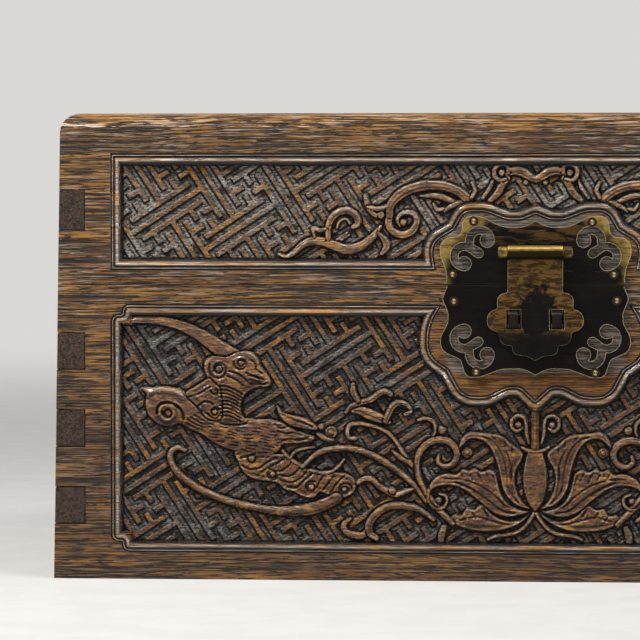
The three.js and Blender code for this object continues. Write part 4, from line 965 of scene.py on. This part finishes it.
class Relief:
    """A carved field on a grid of x and z: the height of its forms and the room cut round them."""

    def __init__(self, low, high, cell):
        across = np.linspace(low[0], high[0], round((high[0] - low[0]) / cell) + 1)
        up = np.linspace(low[1], high[1], round((high[1] - low[1]) / cell) + 1)
        self.x, self.z = np.meshgrid(across, up)
        self.form = np.zeros(self.x.shape)
        self.clear = np.ones(self.x.shape)
        self.core = np.zeros(self.x.shape)

    def window(self, points, margin):
        """The rows and columns of the grid that the points and a margin round them reach."""
        low = points[:, :2].min(0) - margin
        high = points[:, :2].max(0) + margin
        columns = np.searchsorted(self.x[0], [low[0], high[0]])
        rows = np.searchsorted(self.z[:, 0], [low[1], high[1]])
        return slice(*rows), slice(*columns)

    def lay(self, window, inside, height, meets):
        """Set a form's height and cut room round it; a main form also marks its core. It meets a
        form under it in one of three ways: "cover" replaces it, "over" also sinks it round the
        edge and "join" keeps the higher."""
        under = self.form[window]
        if meets == "join":
            laid = np.maximum(under, np.where(inside > 0, height, 0))
        else:
            if meets == "over":
                under = under * (SUNK_SHARE + (1 - SUNK_SHARE) * smooth(-inside / SUNK_REACH))
            laid = np.where(inside > 0, height, under)
        self.form[window] = laid
        room = smooth(-inside / ROOM_ROUND_FORM)
        self.clear[window] = np.minimum(self.clear[window], room)
        if height.max() > MAIN_FORM:
            self.core[window] = np.maximum(self.core[window], smooth((inside - 0.2) / 0.4))

    def rib(self, points, base, crown, lines=(), meets="cover"):
        """A rounded stem along a curve: base + crown * sqrt(1 - q^2), q being the distance from
        the middle over the half-width, with a fine cut along it at each q named in lines."""
        curve = curve_through(points)
        window = self.window(curve, curve[:, 2].max() + 2)
        gap, number, part, side = nearest(self.x[window], self.z[window], curve[:-1], curve[1:])
        half = curve[number, 2] * (1 - part) + curve[number + 1, 2] * part
        across = gap / half
        dome = np.sqrt(np.clip(1 - across**2, 0, 1))
        height = base * smooth((half - gap) / EDGE_RISE) + crown * dome
        for line in lines:
            height -= LINE_DEPTH * ridge(side * across, line, LINE_WIDTH)
        self.lay(window, half - gap, height, meets)

    def leaf(self, outline, base, crown, edge, comb=None, rim=0, meets="cover"):
        """A filled form: base + crown * (1 - exp(-d / edge)), d being the distance in from its
        outline. A rim adds a raised line just inside the outline and a hollow behind it. A comb
        gives the angle, pitch and depth of short parallel cuts."""
        curve = curve_round(outline)
        window = self.window(curve, 2)
        x = self.x[window]
        z = self.z[window]
        inside = depth_inside(x, z, curve)
        swell = 1 - np.exp(-np.maximum(inside, 0) / edge)
        height = base * smooth(inside / EDGE_RISE) + crown * swell
        height += rim * (ridge(inside, *RIM) - 0.9 * ridge(inside, *RIM_HOLLOW))
        if comb:
            angle, pitch, depth = comb
            slant = math.radians(angle)
            across = z * math.cos(slant) - x * math.sin(slant) + 0.35 * np.sin(x * 0.5 + z * 0.3)
            along = x * math.cos(slant) + z * math.sin(slant)
            row = np.floor(across / pitch)
            dash = smooth(0.75 + np.sin(along * 0.9 + row * 2.4 + np.sin(row * 5.1) * 3))
            cuts = (0.5 - 0.5 * np.cos(math.tau * across / pitch)) ** 2 * dash
            height -= depth * cuts * smooth(inside - 0.5)
        self.lay(window, inside, height, meets)

    def knob(self, centre, radius, base, crown, rings=(), meets="over"):
        """A round boss: base + crown * sqrt(1 - (r / radius)^2), cut by a ring at each share of
        the radius named in rings."""
        window = self.window(np.array([centre], float), radius + 2)
        gap = np.hypot(self.x[window] - centre[0], self.z[window] - centre[1])
        dome = np.sqrt(np.clip(1 - (gap / radius) ** 2, 0, 1))
        height = base * smooth((radius - gap) / EDGE_RISE) + crown * dome
        for ring in rings:
            height -= RING_DEPTH * ridge(gap, ring * radius, RING_WIDTH)
        self.lay(window, radius - gap, height, meets)

    def cut(self, points, width, depth):
        """A fine cut along a curve over the forms: depth * exp(-(d / width)^2), with a low bank a
        third as high on both sides. A depth below 0 raises a line with a cut on both sides."""
        curve = curve_through(points)
        window = self.window(curve, 5 * width)
        gap = nearest(self.x[window], self.z[window], curve[:-1], curve[1:])[0] / width
        line = ridge(gap, 0, 1) - 0.35 * ridge(gap, 2, 1)
        self.form[window] -= depth * line * smooth(self.form[window] - 0.6)

    def volute(self, centre, radius, start, turns, width, depth):
        """A spiral cut: its radius shrinks evenly to a fifth over the turns. start, in degrees, is
        where it begins; turns below 0 run clockwise."""
        part = np.linspace(0, 1, 26)
        angle = math.radians(start) + math.tau * turns * part
        reach = radius * (1 - 0.8 * part)
        spiral = np.stack([centre[0] + reach * np.cos(angle), centre[1] + reach * np.sin(angle)], 1)
        self.cut(spiral, width, depth)

    def feathers(self, first, last, count, width, depth):
        """Cuts shared out evenly from one guide curve to another."""
        for share in np.linspace(0, 1, count):
            self.cut(np.array(first) * (1 - share) + np.array(last) * share, width, depth)

    def settled(self):
        """Keep the main forms from being cut too low."""
        self.form = np.maximum(self.form, MAIN_FORM_KEPT * self.core)

    def parts(self, change):
        """A field whose four grids come from this one's by a change."""
        other = Relief.__new__(Relief)
        other.x, other.z = change(self.x, -1), change(self.z, 1)
        other.form, other.clear = change(self.form, 1), change(self.clear, 1)
        return other

    def completed(self):
        """The same field with its mirror image added on the far side of its last column."""
        return self.parts(lambda grid, sign: np.hstack([grid, sign * grid[:, -2::-1]]))

    def turned(self):
        """The mirror image of the field."""
        return self.parts(lambda grid, sign: sign * grid[:, ::-1])


def fret(x, z, centre, sizes):
    """Distance in from the bars' edges, in millimetres, positive on a bar, of the fret ground:
    groups of three bars, the middle one eight units long and the outer two six, each outer bar
    with two short hooks outwards. The groups stand on a square lattice five units apart, turned
    by the fret angle, and every other one lies across."""
    unit = sizes.fret_unit / MM
    half = 0.5 * sizes.fret_bar / sizes.fret_unit
    turn = sizes.fret_angle
    u = ((x - centre[0]) * math.cos(turn) + (z - centre[1]) * math.sin(turn)) / unit
    v = ((z - centre[1]) * math.cos(turn) - (x - centre[0]) * math.sin(turn)) / unit
    column = np.round(u / 5)
    row = np.round(v / 5)
    gap = np.full(x.shape, 9.0)
    for i in (-1, 0, 1):
        for j in (-1, 0, 1):
            a = np.abs(u - 5 * (column + i))
            b = np.abs(v - 5 * (row + j))
            lying = (column + i + row + j) % 2 == 0
            along = np.where(lying, a, b)
            across = np.where(lying, b, a)
            middle = np.maximum(along - 4 - half, across - half)
            outer = np.maximum(along - 3 - half, np.abs(across - 1) - half)
            hook = np.maximum(np.abs(along - 2) - half, np.abs(across - 1.5) - 0.5 - half)
            gap = np.minimum(gap, np.minimum(middle, np.minimum(outer, hook)))
    return -gap * unit


def drawn_to_edges(relief, centre, sizes):
    """Move the grid's points near a bar's edge onto its top or its foot, a wall's half-width from
    the edge, along the slope of the distance; returns the new x, z and distance."""
    x, z = relief.x, relief.z
    cell = sizes.carving_cell / MM
    gap = fret(x, z, centre, sizes)
    step = 0.04
    slope_x = (fret(x + step, z, centre, sizes) - fret(x - step, z, centre, sizes)) / (2 * step)
    slope_z = (fret(x, z + step, centre, sizes) - fret(x, z - step, centre, sizes)) / (2 * step)
    steepness = np.maximum(slope_x**2 + slope_z**2, 0.5)
    near = (np.abs(gap) < 0.62 * cell) & (relief.form < FORM_LEAST)
    goal = np.where(gap > 0, WALL_HALF_WIDTH, -WALL_HALF_WIDTH)
    longest_move = 0.48 * cell
    move = np.where(near, goal - gap, 0) / steepness
    move = np.clip(move, -longest_move, longest_move)
    move[:, [0, -1]] = 0
    move[[0, -1]] = 0
    return x + move * slope_x, z + move * slope_z, gap + move * steepness


def add_mesh(name, vertices, faces, body, flat_from=None):
    """A new object from vertices in millimetres; faces from flat_from on are shaded flat."""
    mesh = bpy.data.meshes.new(name)
    mesh.from_pydata((np.asarray(vertices) * MM).tolist(), [], faces)
    smooth_faces = np.ones(len(faces), bool)
    if flat_from is not None:
        smooth_faces[flat_from:] = False
    mesh.polygons.foreach_set("use_smooth", smooth_faces)
    mesh.update()
    piece = bpy.data.objects.new(name, mesh)
    bpy.context.scene.collection.objects.link(piece)
    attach(piece, body)
    return piece


def store(piece, name, values):
    """Keep one number for each vertex of a piece, for its finish to read."""
    attribute = piece.data.attributes.new(name, "FLOAT", "POINT")
    attribute.data.foreach_set("value", np.asarray(values, np.float32).ravel())


def carved_slab(name, relief, outline, centre, sizes, body):
    """A closed slab: a grid front whose depth comes from the forms over the fret ground, four
    walls and a flat back. Under the moulding the front sinks.

    It keeps two numbers for its finish: relief, the height, and one for wear and painted light, which
    is the height above the mean round it, more on ledges that face up, and less on the undersides,
    beside a bar and along the inside of the moulding. Above 0 it pales crests, partly as wear and
    partly as painted highlight; below 0 it paints shade."""
    x, z, gap = drawn_to_edges(relief, centre, sizes)
    inside = depth_inside(x, z, rounded_outline(outline))
    uneven = 0.1 * np.sin(x * 1.9 + 3 * np.sin(z * 0.7)) * np.sin(z * 2.3 + 2 * np.sin(x * 0.9))
    bars = smooth(0.5 + gap / 0.3) * (sizes.fret_height / MM + uneven) + 0.6 * uneven
    heights = np.where(relief.form > FORM_LEAST, relief.form, bars * relief.clear)
    rows, columns = heights.shape
    covered = inside < UNDER_MOULDING
    depth = np.where(covered, COVERED_DEPTH, GROUND_DEPTH - heights)
    front = np.stack([x, FACE_Y + depth, z], -1).reshape(-1, 3)
    index = np.arange(rows * columns).reshape(rows, columns)
    quads = np.stack([index[:-1, :-1], index[:-1, 1:], index[1:, 1:], index[1:, :-1]], -1)
    quads = quads.reshape(-1, 4)
    rim = np.concatenate([index[0, :-1], index[:-1, -1], index[-1, :0:-1], index[:0:-1, 0]])
    behind = front[rim].copy()
    behind[:, 1] = FACE_Y + SLAB_BACK_DEPTH
    ring = rows * columns + np.arange(len(rim))
    walls = np.stack([rim, ring, np.roll(ring, -1), np.roll(rim, -1)], -1)
    faces = quads.tolist() + walls.tolist() + [ring[::-1].tolist()]
    piece = add_mesh(name, np.vstack([front, behind]), faces, body, len(quads))
    piece.data.set_sharp_from_angle(angle=math.radians(38))
    on_ground = relief.form < FORM_LEAST
    # Height above the mean round it: crests paler for wear and painted highlight, hollows darker as
    # painted shade
    whole = relief.form + 0.14 * bars * relief.clear * on_ground
    local = (whole - softened(softened(whole, 2), 2)) / 0.6
    # Painted light from above: slopes that face up paler, slopes that face down darker
    rise = np.gradient(heights, sizes.carving_cell / MM, axis=0)
    ledge = np.clip(-rise, -1.2, 1.2)
    # Painted shade: a dark line at the foot of each fret bar
    foot = 0.65 * ridge(gap, -0.2, 0.22) * relief.clear * on_ground
    wear = np.clip(0.62 * local + 0.62 * ledge - foot, -1, 1)
    # Painted shade along the inside of the moulding
    shaded = np.minimum(wear, -0.7 * smooth(UNDER_MOULDING + 1.2 - inside))
    wear = np.where(inside < UNDER_MOULDING + 1, shaded, wear)
    padding = np.zeros(len(rim))
    store(piece, "relief", np.concatenate([heights.ravel() / RELIEF_SCALE, padding]))
    store(piece, "wear", np.concatenate([wear.ravel(), padding]))
    return piece


def swept_moulding(name, corners, profile, body, face_y):
    """A closed strip: each point of the profile follows the outline at its own inset and depth."""
    profile = np.array(profile, float)
    loops = np.stack([rounded_outline(corners, inset) for inset in profile[:, 0]])
    depth = np.repeat(profile[:, 1], loops.shape[1])
    flat = loops.reshape(-1, 2)
    vertices = np.stack([flat[:, 0], face_y + depth, flat[:, 1]], -1)
    index = np.arange(len(vertices)).reshape(len(profile), -1)
    onward = np.roll(index, -1, 0)
    quads = np.stack([index, np.roll(index, -1, 1), np.roll(onward, -1, 1), onward], -1)
    piece = add_mesh(name, vertices, quads.reshape(-1, 4).tolist(), body)
    # The profile's last column paints shade in the grooves and highlight on the beads
    store(piece, "wear", np.repeat(profile[:, 2], loops.shape[1]))
    return piece


def carve_bat(field):
    """The bat on the case's left panel: two long wings, a curled rump, a body and its feathers."""
    field.rib(BAT_WING, 1.5, 0.8, (-0.5,))
    field.leaf(BAT_MEMBRANE, 1.5, 0.6, 1.2, (38, 1.7, 0.2), 0.3)
    field.rib(BAT_LOWER_WING, 1.5, 0.9, (0.6,), "over")
    field.leaf(BAT_RUMP, 1.5, 1.2, 2.2)
    field.leaf(BAT_BODY, 1.5, 1.2, 2.6, (-7, 1.35, 0.5), 0, "join")
    field.leaf(BAT_NECK, 1.5, 1.2, 2, (10, 1.3, 0.2), 0.15, "over")
    field.leaf(BAT_SHOULDER, 1.6, 1, 1.8, (30, 1.4, 0.2), 0.35, "over")
    field.rib(BAT_HORN, 1.5, 0.9, (0,), "over")
    field.cut([[-161.4, 76.4], [-158.4, 78], [-154, 78.4], [-149, 77.6], [-145.6, 75.4]], 0.9, -0.5)
    field.cut([[-156.8, 69], [-156.4, 71.4], [-154.2, 73.2], [-151, 73.2], [-148, 71.6]], 0.5, 1)
    field.cut([[-149.4, 72.5], [-147.2, 70.8], [-146, 68.6], [-145.6, 66.4]], 0.5, 1)
    field.volute((-152.1, 68.8), 3.9, 130, 1.05, 0.7, -0.5)
    field.volute((-152.1, 68.9), 2.6, 160, 0.8, 0.4, 0.8)
    field.knob((-152.1, 69), 1.6, 1.7, 0.6)
    for centre, radius, start, turns in (
        ((-131, 87.2), 4.2, 150, 1.6),
        ((-121.8, 89.8), 3, 170, 1.3),
        ((-132.6, 69.4), 3, 190, 1.4),
        ((-132.4, 78.4), 2, 180, 0.7),
        ((-108.4, 43.4), 2.6, 120, 1.2),
        ((-92.6, 38.4), 2.7, 60, 1.2),
        ((-78.6, 37.6), 3, 0, 1.4),
    ):
        field.volute(centre, radius, start, turns, 0.45, 0.7)
    for centre, radius in (
        ((-131, 87.4), 1.6),
        ((-121.8, 89.8), 1.3),
        ((-132.8, 69.5), 1.3),
        ((-117.4, 50.2), 1.6),
        ((-108.6, 43.6), 1.3),
        ((-92.6, 38.4), 1.5),
        ((-78.8, 37.6), 1.2),
    ):
        field.knob(centre, radius, 1.8, 0.7)
    for points in BAT_FOLDS:
        field.cut(points, 0.42, 0.6)
    for row in BAT_FEATHERS:
        field.feathers(*row)
    field.knob((-84.4, 61.2), 2.6, 1, 0.7, (0.55,))
    field.knob((-88.6, 63.4), 1.4, 0.9, 0.5)
    field.rib([[-90, 60.4, 0.9], [-87, 58.6, 1.2], [-83.6, 58, 0.8]], 1, 0.6, meets="over")
    field.rib(WEB_EDGE, 1.2, 0.7)
    field.rib(WEB_ROOT, 1.2, 0.7)
    field.rib(WEB_TWIG, 1, 0.6)


def carve_flowers(field):
    """The lily, the vine and the leaves between the bat and the lotus."""
    for points in (LILY_CUP, LILY_BACK_PETAL, LILY_FRONT_PETAL, LILY_TOP_PETAL):
        field.rib(points, 1.5, 0.8, (0.2,), "over")
    for points in (TENDRIL, TENDRIL_LEAF, BUD_STEM, CURLED_LEAF, HOOK_LEAF):
        field.rib(points, 1, 0.8)
    field.rib(ARCH_LEAF, 1.5, 0.7, (0.4,))
    field.rib(VINE, 1.5, 0.7, (0.5,))
    field.knob((-38.4, 62.2), 1.8, 1, 0.8)
    field.knob((-59, 37), 1.7, 1.1, 0.8)


def carve_lotus(field):
    """The lotus in the middle: scrolls, ruffled petals, the seed pod and its stalk."""
    field.leaf(PETAL_LOW, 1.5, 0.95, 2.4, (8, 1.3, 0.06), 0.3)
    field.leaf(PETAL_RUFFLED, 1.5, 0.95, 2.4, (-12, 1.3, 0.06), 0.3, "over")
    field.leaf(PETAL_SIDE, 1.55, 0.95, 2, (80, 1.3, 0.06), 0.35, "over")
    field.rib(OUTER_SCROLL, 1.5, 0.7, (-0.45,), "over")
    field.rib(PETAL_SPIRAL, 1.1, 0.7)
    field.knob((-39.8, 33.2), 1.5, 1, 0.6, meets="cover")
    field.knob((-28, 53), 2.2, 1, 0.7, (0.55,), "cover")
    field.rib(LOW_STEM, 1, 0.8)
    field.rib(ROOT_BAND, 1.1, 0.7)
    field.leaf(SEED_POD, 1.5, 0.9, 2.2, (3, 1.3, 0.1), 0, "over")
    field.rib(POD_STALK, 1, 0.9, (-0.45, 0.45))
    field.rib(POD_COLLAR, 1.2, 0.7)
    for points in (STALK_LEAF, STALK_CURL):
        field.rib(points, 0.9, 0.7)
    field.knob((-7, 64.6), 1.5, 1, 0.6, meets="cover")
    for points in PETAL_FOLDS:
        field.cut(points, 0.4, 0.45)


def carve_scrolls(field):
    """The lid's scrolls and the bat-shaped cloud over the lock."""
    field.rib(SCROLL_BODY, 1.2, 0.9, (-0.4,))
    field.rib(SCROLL_TAIL, 1.1, 0.8, (0.35,))
    field.rib(SCROLL_TAIL_INNER, 0.9, 0.5)
    field.rib(SCROLL_HOOK, 1, 0.6)
    for points in (SCROLL_LEAF, SCROLL_BAND):
        field.rib(points, 1.1, 0.7)
    field.knob((-63.8, 151.2), 1.7, 1.2, 0.8, meets="cover")
    field.rib(WAVE_TAIL, 1.1, 0.7, (0,))
    field.rib(ARCH_UNDER, 1, 0.7)
    field.rib(SMALL_HOOK, 0.9, 0.6)
    field.rib(SMALL_LEAF, 1, 0.7)
    field.rib(ARCH_SPIRAL, 1.2, 0.8, (0.3,))
    field.knob((-54.6, 148.2), 1.6, 1.1, 0.5, meets="cover")
    field.rib(SCROLL_ARCH, 1.2, 0.9, (-0.35, 0.4))
    field.rib(ARCH_TIP, 1.1, 0.6)
    field.rib(CLOUD_LEAF, 1, 0.5)
    field.rib(BAT_CLOUD_WING, 1.1, 0.7)
    field.rib(BAT_CLOUD_BODY, 1.2, 0.7, (0.3,))
    field.rib(BAT_CLOUD_RING, 1.2, 0.6)
    field.knob((-14, 168.6), 1.5, 1.1, 0.6, meets="cover")
    field.knob((-4, 164.6), 1.2, 1, 0.5, meets="cover")


def dress(names, material):
    """Give CAD nodes a finish."""
    for name in names:
        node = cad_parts[name]
        if node.material_slots:
            node.material_slots[0].material = material
        else:
            node.data.materials.append(material)


def soften_edges(names, width):
    """Merge the loose triangles of CAD nodes and round their edges."""
    for name in names:
        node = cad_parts[name]
        weld = node.modifiers.new("Weld", "WELD")
        weld.merge_threshold = WELD_REACH
        bevel = node.modifiers.new("Bevel", "BEVEL")
        bevel.width = width
        bevel.segments = 2
        bevel.limit_method = "ANGLE"
        bevel.angle_limit = math.radians(40)


def nodes_with(*words):
    """Names of the CAD nodes that hold any of the words."""
    return [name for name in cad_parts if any(word in name for word in words)]


class BOX_OT_boards(bpy.types.Operator):
    """Finish the boards of the case and the lid"""

    bl_idname = "carved_box.boards"
    bl_label = "Boards"

    def execute(self, context):
        colours = context.scene.box_colours
        end_boards = nodes_with("left_board", "right_board")
        long_boards = [name for name in nodes_with("_board") if name not in end_boards]
        dress(long_boards, board_finish("face_wood", colours, "X"))
        dress(["lid_top_board"], board_finish("top_wood", colours, "X", 1))
        dress(end_boards, board_finish("end_wood", colours, "Y"))
        soften_edges(long_boards + end_boards, context.scene.box_sizes.edge_softness)
        return {"FINISHED"}


class BOX_OT_mouldings(bpy.types.Operator):
    """Run the groove and bead round both front panels"""

    bl_idname = "carved_box.mouldings"
    bl_label = "Mouldings"

    def execute(self, context):
        finish = moulding_finish("moulding_wood", context.scene.box_colours)
        rows = (("case", CASE_PANEL_LEFT), ("lid", LID_PANEL_RIGHT))
        for body, half in rows:
            name = f"{body}_panel_moulding"
            piece = swept_moulding(name, mirrored(half), MOULDING, body, FACE_Y)
            piece.data.materials.append(finish)
        return {"FINISHED"}


class BOX_OT_case_carving(bpy.types.Operator):
    """Carve the case's front panel"""

    bl_idname = "carved_box.case_carving"
    bl_label = "Case carving"

    def execute(self, context):
        sizes = context.scene.box_sizes
        finish = carved_finish("carved_wood", context.scene.box_colours)
        left = Relief(*CASE_FIELD, sizes.carving_cell / MM)
        carve_bat(left)
        carve_flowers(left)
        carve_lotus(left)
        left.settled()
        outline = mirrored(CASE_PANEL_LEFT)
        for side, relief in (("left", left), ("right", left.turned())):
            name = f"case_carving_{side}"
            piece = carved_slab(name, relief, outline, CASE_FRET_CENTRE, sizes, "case")
            piece.data.materials.append(finish)
        return {"FINISHED"}


class BOX_OT_lid_carving(bpy.types.Operator):
    """Carve the lid's front panel"""

    bl_idname = "carved_box.lid_carving"
    bl_label = "Lid carving"

    def execute(self, context):
        sizes = context.scene.box_sizes
        finish = carved_finish("carved_lid_wood", context.scene.box_colours, 1)
        left = Relief(*LID_FIELD, sizes.carving_cell / MM)
        carve_scrolls(left)
        outline = mirrored(LID_PANEL_RIGHT)
        field = left.completed()
        piece = carved_slab("lid_carving", field, outline, LID_FRET_CENTRE, sizes, "lid")
        piece.data.materials.append(finish)
        return {"FINISHED"}


class BOX_OT_lock(bpy.types.Operator):
    """Finish the lock plates, the hasp, its pin and its staples"""

    bl_idname = "carved_box.lock"
    bl_label = "Lock"

    def execute(self, context):
        colours = context.scene.box_colours
        metal = colours, "brass", "brass_dark"
        dress(["upper_lock_plate"], plate_finish("upper_plate", colours, 1))
        dress(["lower_lock_plate"], plate_finish("lower_plate", colours, 0))
        dress(["hasp"], hasp_finish("hasp_brass", colours))
        dress(["hasp_pin"], brass_finish("pin_brass", *metal, 0.4, 0.25))
        dress(nodes_with("eyelet"), brass_finish("eyelet_brass", *metal, 0.55, 0.25))
        blackened = brass_finish("staple_brass", colours, "brass_dark", "plate", 0.6, 0.2)
        dress(nodes_with("staple"), blackened)
        dress(nodes_with("plate_nail"), nail_finish("nail_brass", colours))
        soften_edges(["upper_lock_plate", "lower_lock_plate", "hasp"], METAL_BEVEL)
        soften_edges(nodes_with("staple", "eyelet"), METAL_BEVEL)
        return {"FINISHED"}


class BOX_OT_fittings(bpy.types.Operator):
    """Finish the hinges and the bail handles"""

    bl_idname = "carved_box.fittings"
    bl_label = "Hinges and handles"

    def execute(self, context):
        metal = context.scene.box_colours, "brass", "brass_dark"
        for words, name, tarnished, gloss in (
            (("hinge_case", "hinge_lid"), "hinge_brass", 0.6, 0.35),
            (("hinge_pin",), "hinge_pin_brass", 0.4, 0.25),
            (("bail",), "bail_brass", 0.45, 0.28),
            (("handle",), "rose_brass", 0.5, 0.3),
        ):
            dress(nodes_with(*words), brass_finish(name, *metal, tarnished, gloss))
        soften_edges(nodes_with("leaf", "rose", "handle_loop"), METAL_BEVEL)
        return {"FINISHED"}


def aimed(item, target):
    """Turn a lamp or a camera to look at a point."""
    way = Vector(target) - item.location
    item.rotation_euler = way.to_track_quat("-Z", "Y").to_euler()


def soft_lamp(name, place, target, power, width, height):
    """A soft rectangular lamp at a place, aimed at a target."""
    data = bpy.data.lights.new(name, "AREA")
    data.shape = "RECTANGLE"
    data.energy = power
    data.size = width
    data.size_y = height
    lamp = bpy.data.objects.new(name, data)
    bpy.context.scene.collection.objects.link(lamp)
    lamp.location = place
    aimed(lamp, target)


def seen_directly(tree):
    """The socket that is 1 for rays from the camera, off gloss or through glass."""
    path = tree.nodes.new("ShaderNodeLightPath")
    highest = path.outputs["Is Camera Ray"]
    for name in ("Is Glossy Ray", "Is Transmission Ray"):
        either = tree.nodes.new("ShaderNodeMath")
        either.operation = "MAXIMUM"
        tree.links.new(highest, either.inputs[0])
        tree.links.new(path.outputs[name], either.inputs[1])
        highest = either.outputs[0]
    return highest


def floor_finish(colour):
    """Pale paper that takes the box's shadow, and goes over to the plain backdrop further out."""
    finish = Finish("floor_paper")
    grain = finish.noise((40, 40, 40), 3, 0.6)
    darker = [0.94 * level for level in colour[:3]] + [1]
    finish.surface(Base_Color=finish.mix(grain.between(0.4, 0.6), colour, darker), Roughness=0.8)
    away = finish.vector("LENGTH", finish.place, output="Value")
    glow = finish.add("ShaderNodeEmission", {}, {"Color": colour})
    share = (0.35 + 0.65 * away.between(0.5, 2.4)) * Value(finish, seen_directly(finish.tree))
    paper = Value(finish, finish.shader.outputs[0])
    either = finish.add("ShaderNodeMixShader", {}, {0: share, 1: paper, 2: glow})
    output = finish.tree.nodes["Material Output"]
    finish.tree.links.new(either.socket, output.inputs[0])
    return finish.material


def studio_air(colour, strength):
    """Soft light from all round, in front of a plain backdrop of the floor's colour."""
    world = bpy.data.worlds.new("studio")
    world.use_nodes = True
    tree = world.node_tree
    light = tree.nodes["Background"]
    light.inputs["Color"].default_value = (0.95, 0.97, 1, 1)
    light.inputs["Strength"].default_value = strength
    seen = tree.nodes.new("ShaderNodeBackground")
    seen.inputs["Color"].default_value = colour
    either = tree.nodes.new("ShaderNodeMixShader")
    tree.links.new(seen_directly(tree), either.inputs[0])
    tree.links.new(light.outputs[0], either.inputs[1])
    tree.links.new(seen.outputs[0], either.inputs[2])
    tree.links.new(either.outputs[0], tree.nodes["World Output"].inputs[0])
    return world


class BOX_OT_stage(bpy.types.Operator):
    """Lay the floor, hang the lamps and place the camera"""

    bl_idname = "carved_box.stage"
    bl_label = "Stage"

    def execute(self, context):
        scene = context.scene
        studio = scene.box_studio
        mesh = bpy.data.meshes.new("floor")
        reach = 40
        corners = [(-reach, -reach, 0), (reach, -reach, 0), (reach, reach, 0), (-reach, reach, 0)]
        mesh.from_pydata(corners, [], [(0, 1, 2, 3)])
        floor = bpy.data.objects.new("floor", mesh)
        scene.collection.objects.link(floor)
        mesh.materials.append(floor_finish(tone(studio.floor)))
        scene.world = studio_air(tone(studio.floor), studio.air)
        scene.view_settings.view_transform = "Standard"
        target = (-0.06, -0.1, 0.12)
        for name, place, share, width, height in (
            ("key", (-0.5, -0.42, 0.86), 1, 0.22, 0.22),
            ("top", (0.2, -0.3, 0.95), 0.5, 0.5, 0.2),
            ("fill", (1.2, -1.3, 0.6), 0.3, 0.9, 0.9),
        ):
            soft_lamp(name, place, target, studio.key * share, width, height)
        data = bpy.data.cameras.new("camera")
        data.sensor_width = 36
        data.lens = studio.lens
        data.clip_end = 50
        camera = bpy.data.objects.new("camera", data)
        scene.collection.objects.link(camera)
        aim = Vector((-0.0889, FACE_Y * MM, 0.1079))
        yaw = math.radians(4.3)
        pitch = math.radians(1.9)
        away = studio.distance
        offset = Vector((away * math.tan(yaw), -away, away * math.tan(pitch)))
        camera.location = aim + offset
        aimed(camera, aim)
        scene.camera = camera
        return {"FINISHED"}


class BOX_PT_panel(bpy.types.Panel):
    """Lists the steps that dress the box"""

    bl_idname = "BOX_PT_panel"
    bl_label = "Carved Box"
    bl_space_type = "VIEW_3D"
    bl_region_type = "UI"
    bl_category = "Carved Box"

    def draw(self, context):
        for group in (context.scene.box_sizes, context.scene.box_colours, context.scene.box_studio):
            for name in group.bl_rna.properties.keys():
                if name not in {"rna_type", "name"}:
                    self.layout.prop(group, name)
        for operator in OPERATORS:
            self.layout.operator(operator.bl_idname)


OPERATORS = (
    BOX_OT_boards,
    BOX_OT_mouldings,
    BOX_OT_case_carving,
    BOX_OT_lid_carving,
    BOX_OT_lock,
    BOX_OT_fittings,
    BOX_OT_stage,
)
CLASSES = (BoxSizes, BoxColours, BoxStudio, *OPERATORS, BOX_PT_panel)


def register():
    for each in CLASSES:
        bpy.utils.register_class(each)
    bpy.types.Scene.box_sizes = bpy.props.PointerProperty(type=BoxSizes)
    bpy.types.Scene.box_colours = bpy.props.PointerProperty(type=BoxColours)
    bpy.types.Scene.box_studio = bpy.props.PointerProperty(type=BoxStudio)


def unregister():
    del bpy.types.Scene.box_sizes
    del bpy.types.Scene.box_colours
    del bpy.types.Scene.box_studio
    for each in reversed(CLASSES):
        bpy.utils.unregister_class(each)


def main():
    register()
    for operator in OPERATORS:
        group, name = operator.bl_idname.split(".")
        getattr(getattr(bpy.ops, group), name)()


if __name__ == "__main__":
    main()
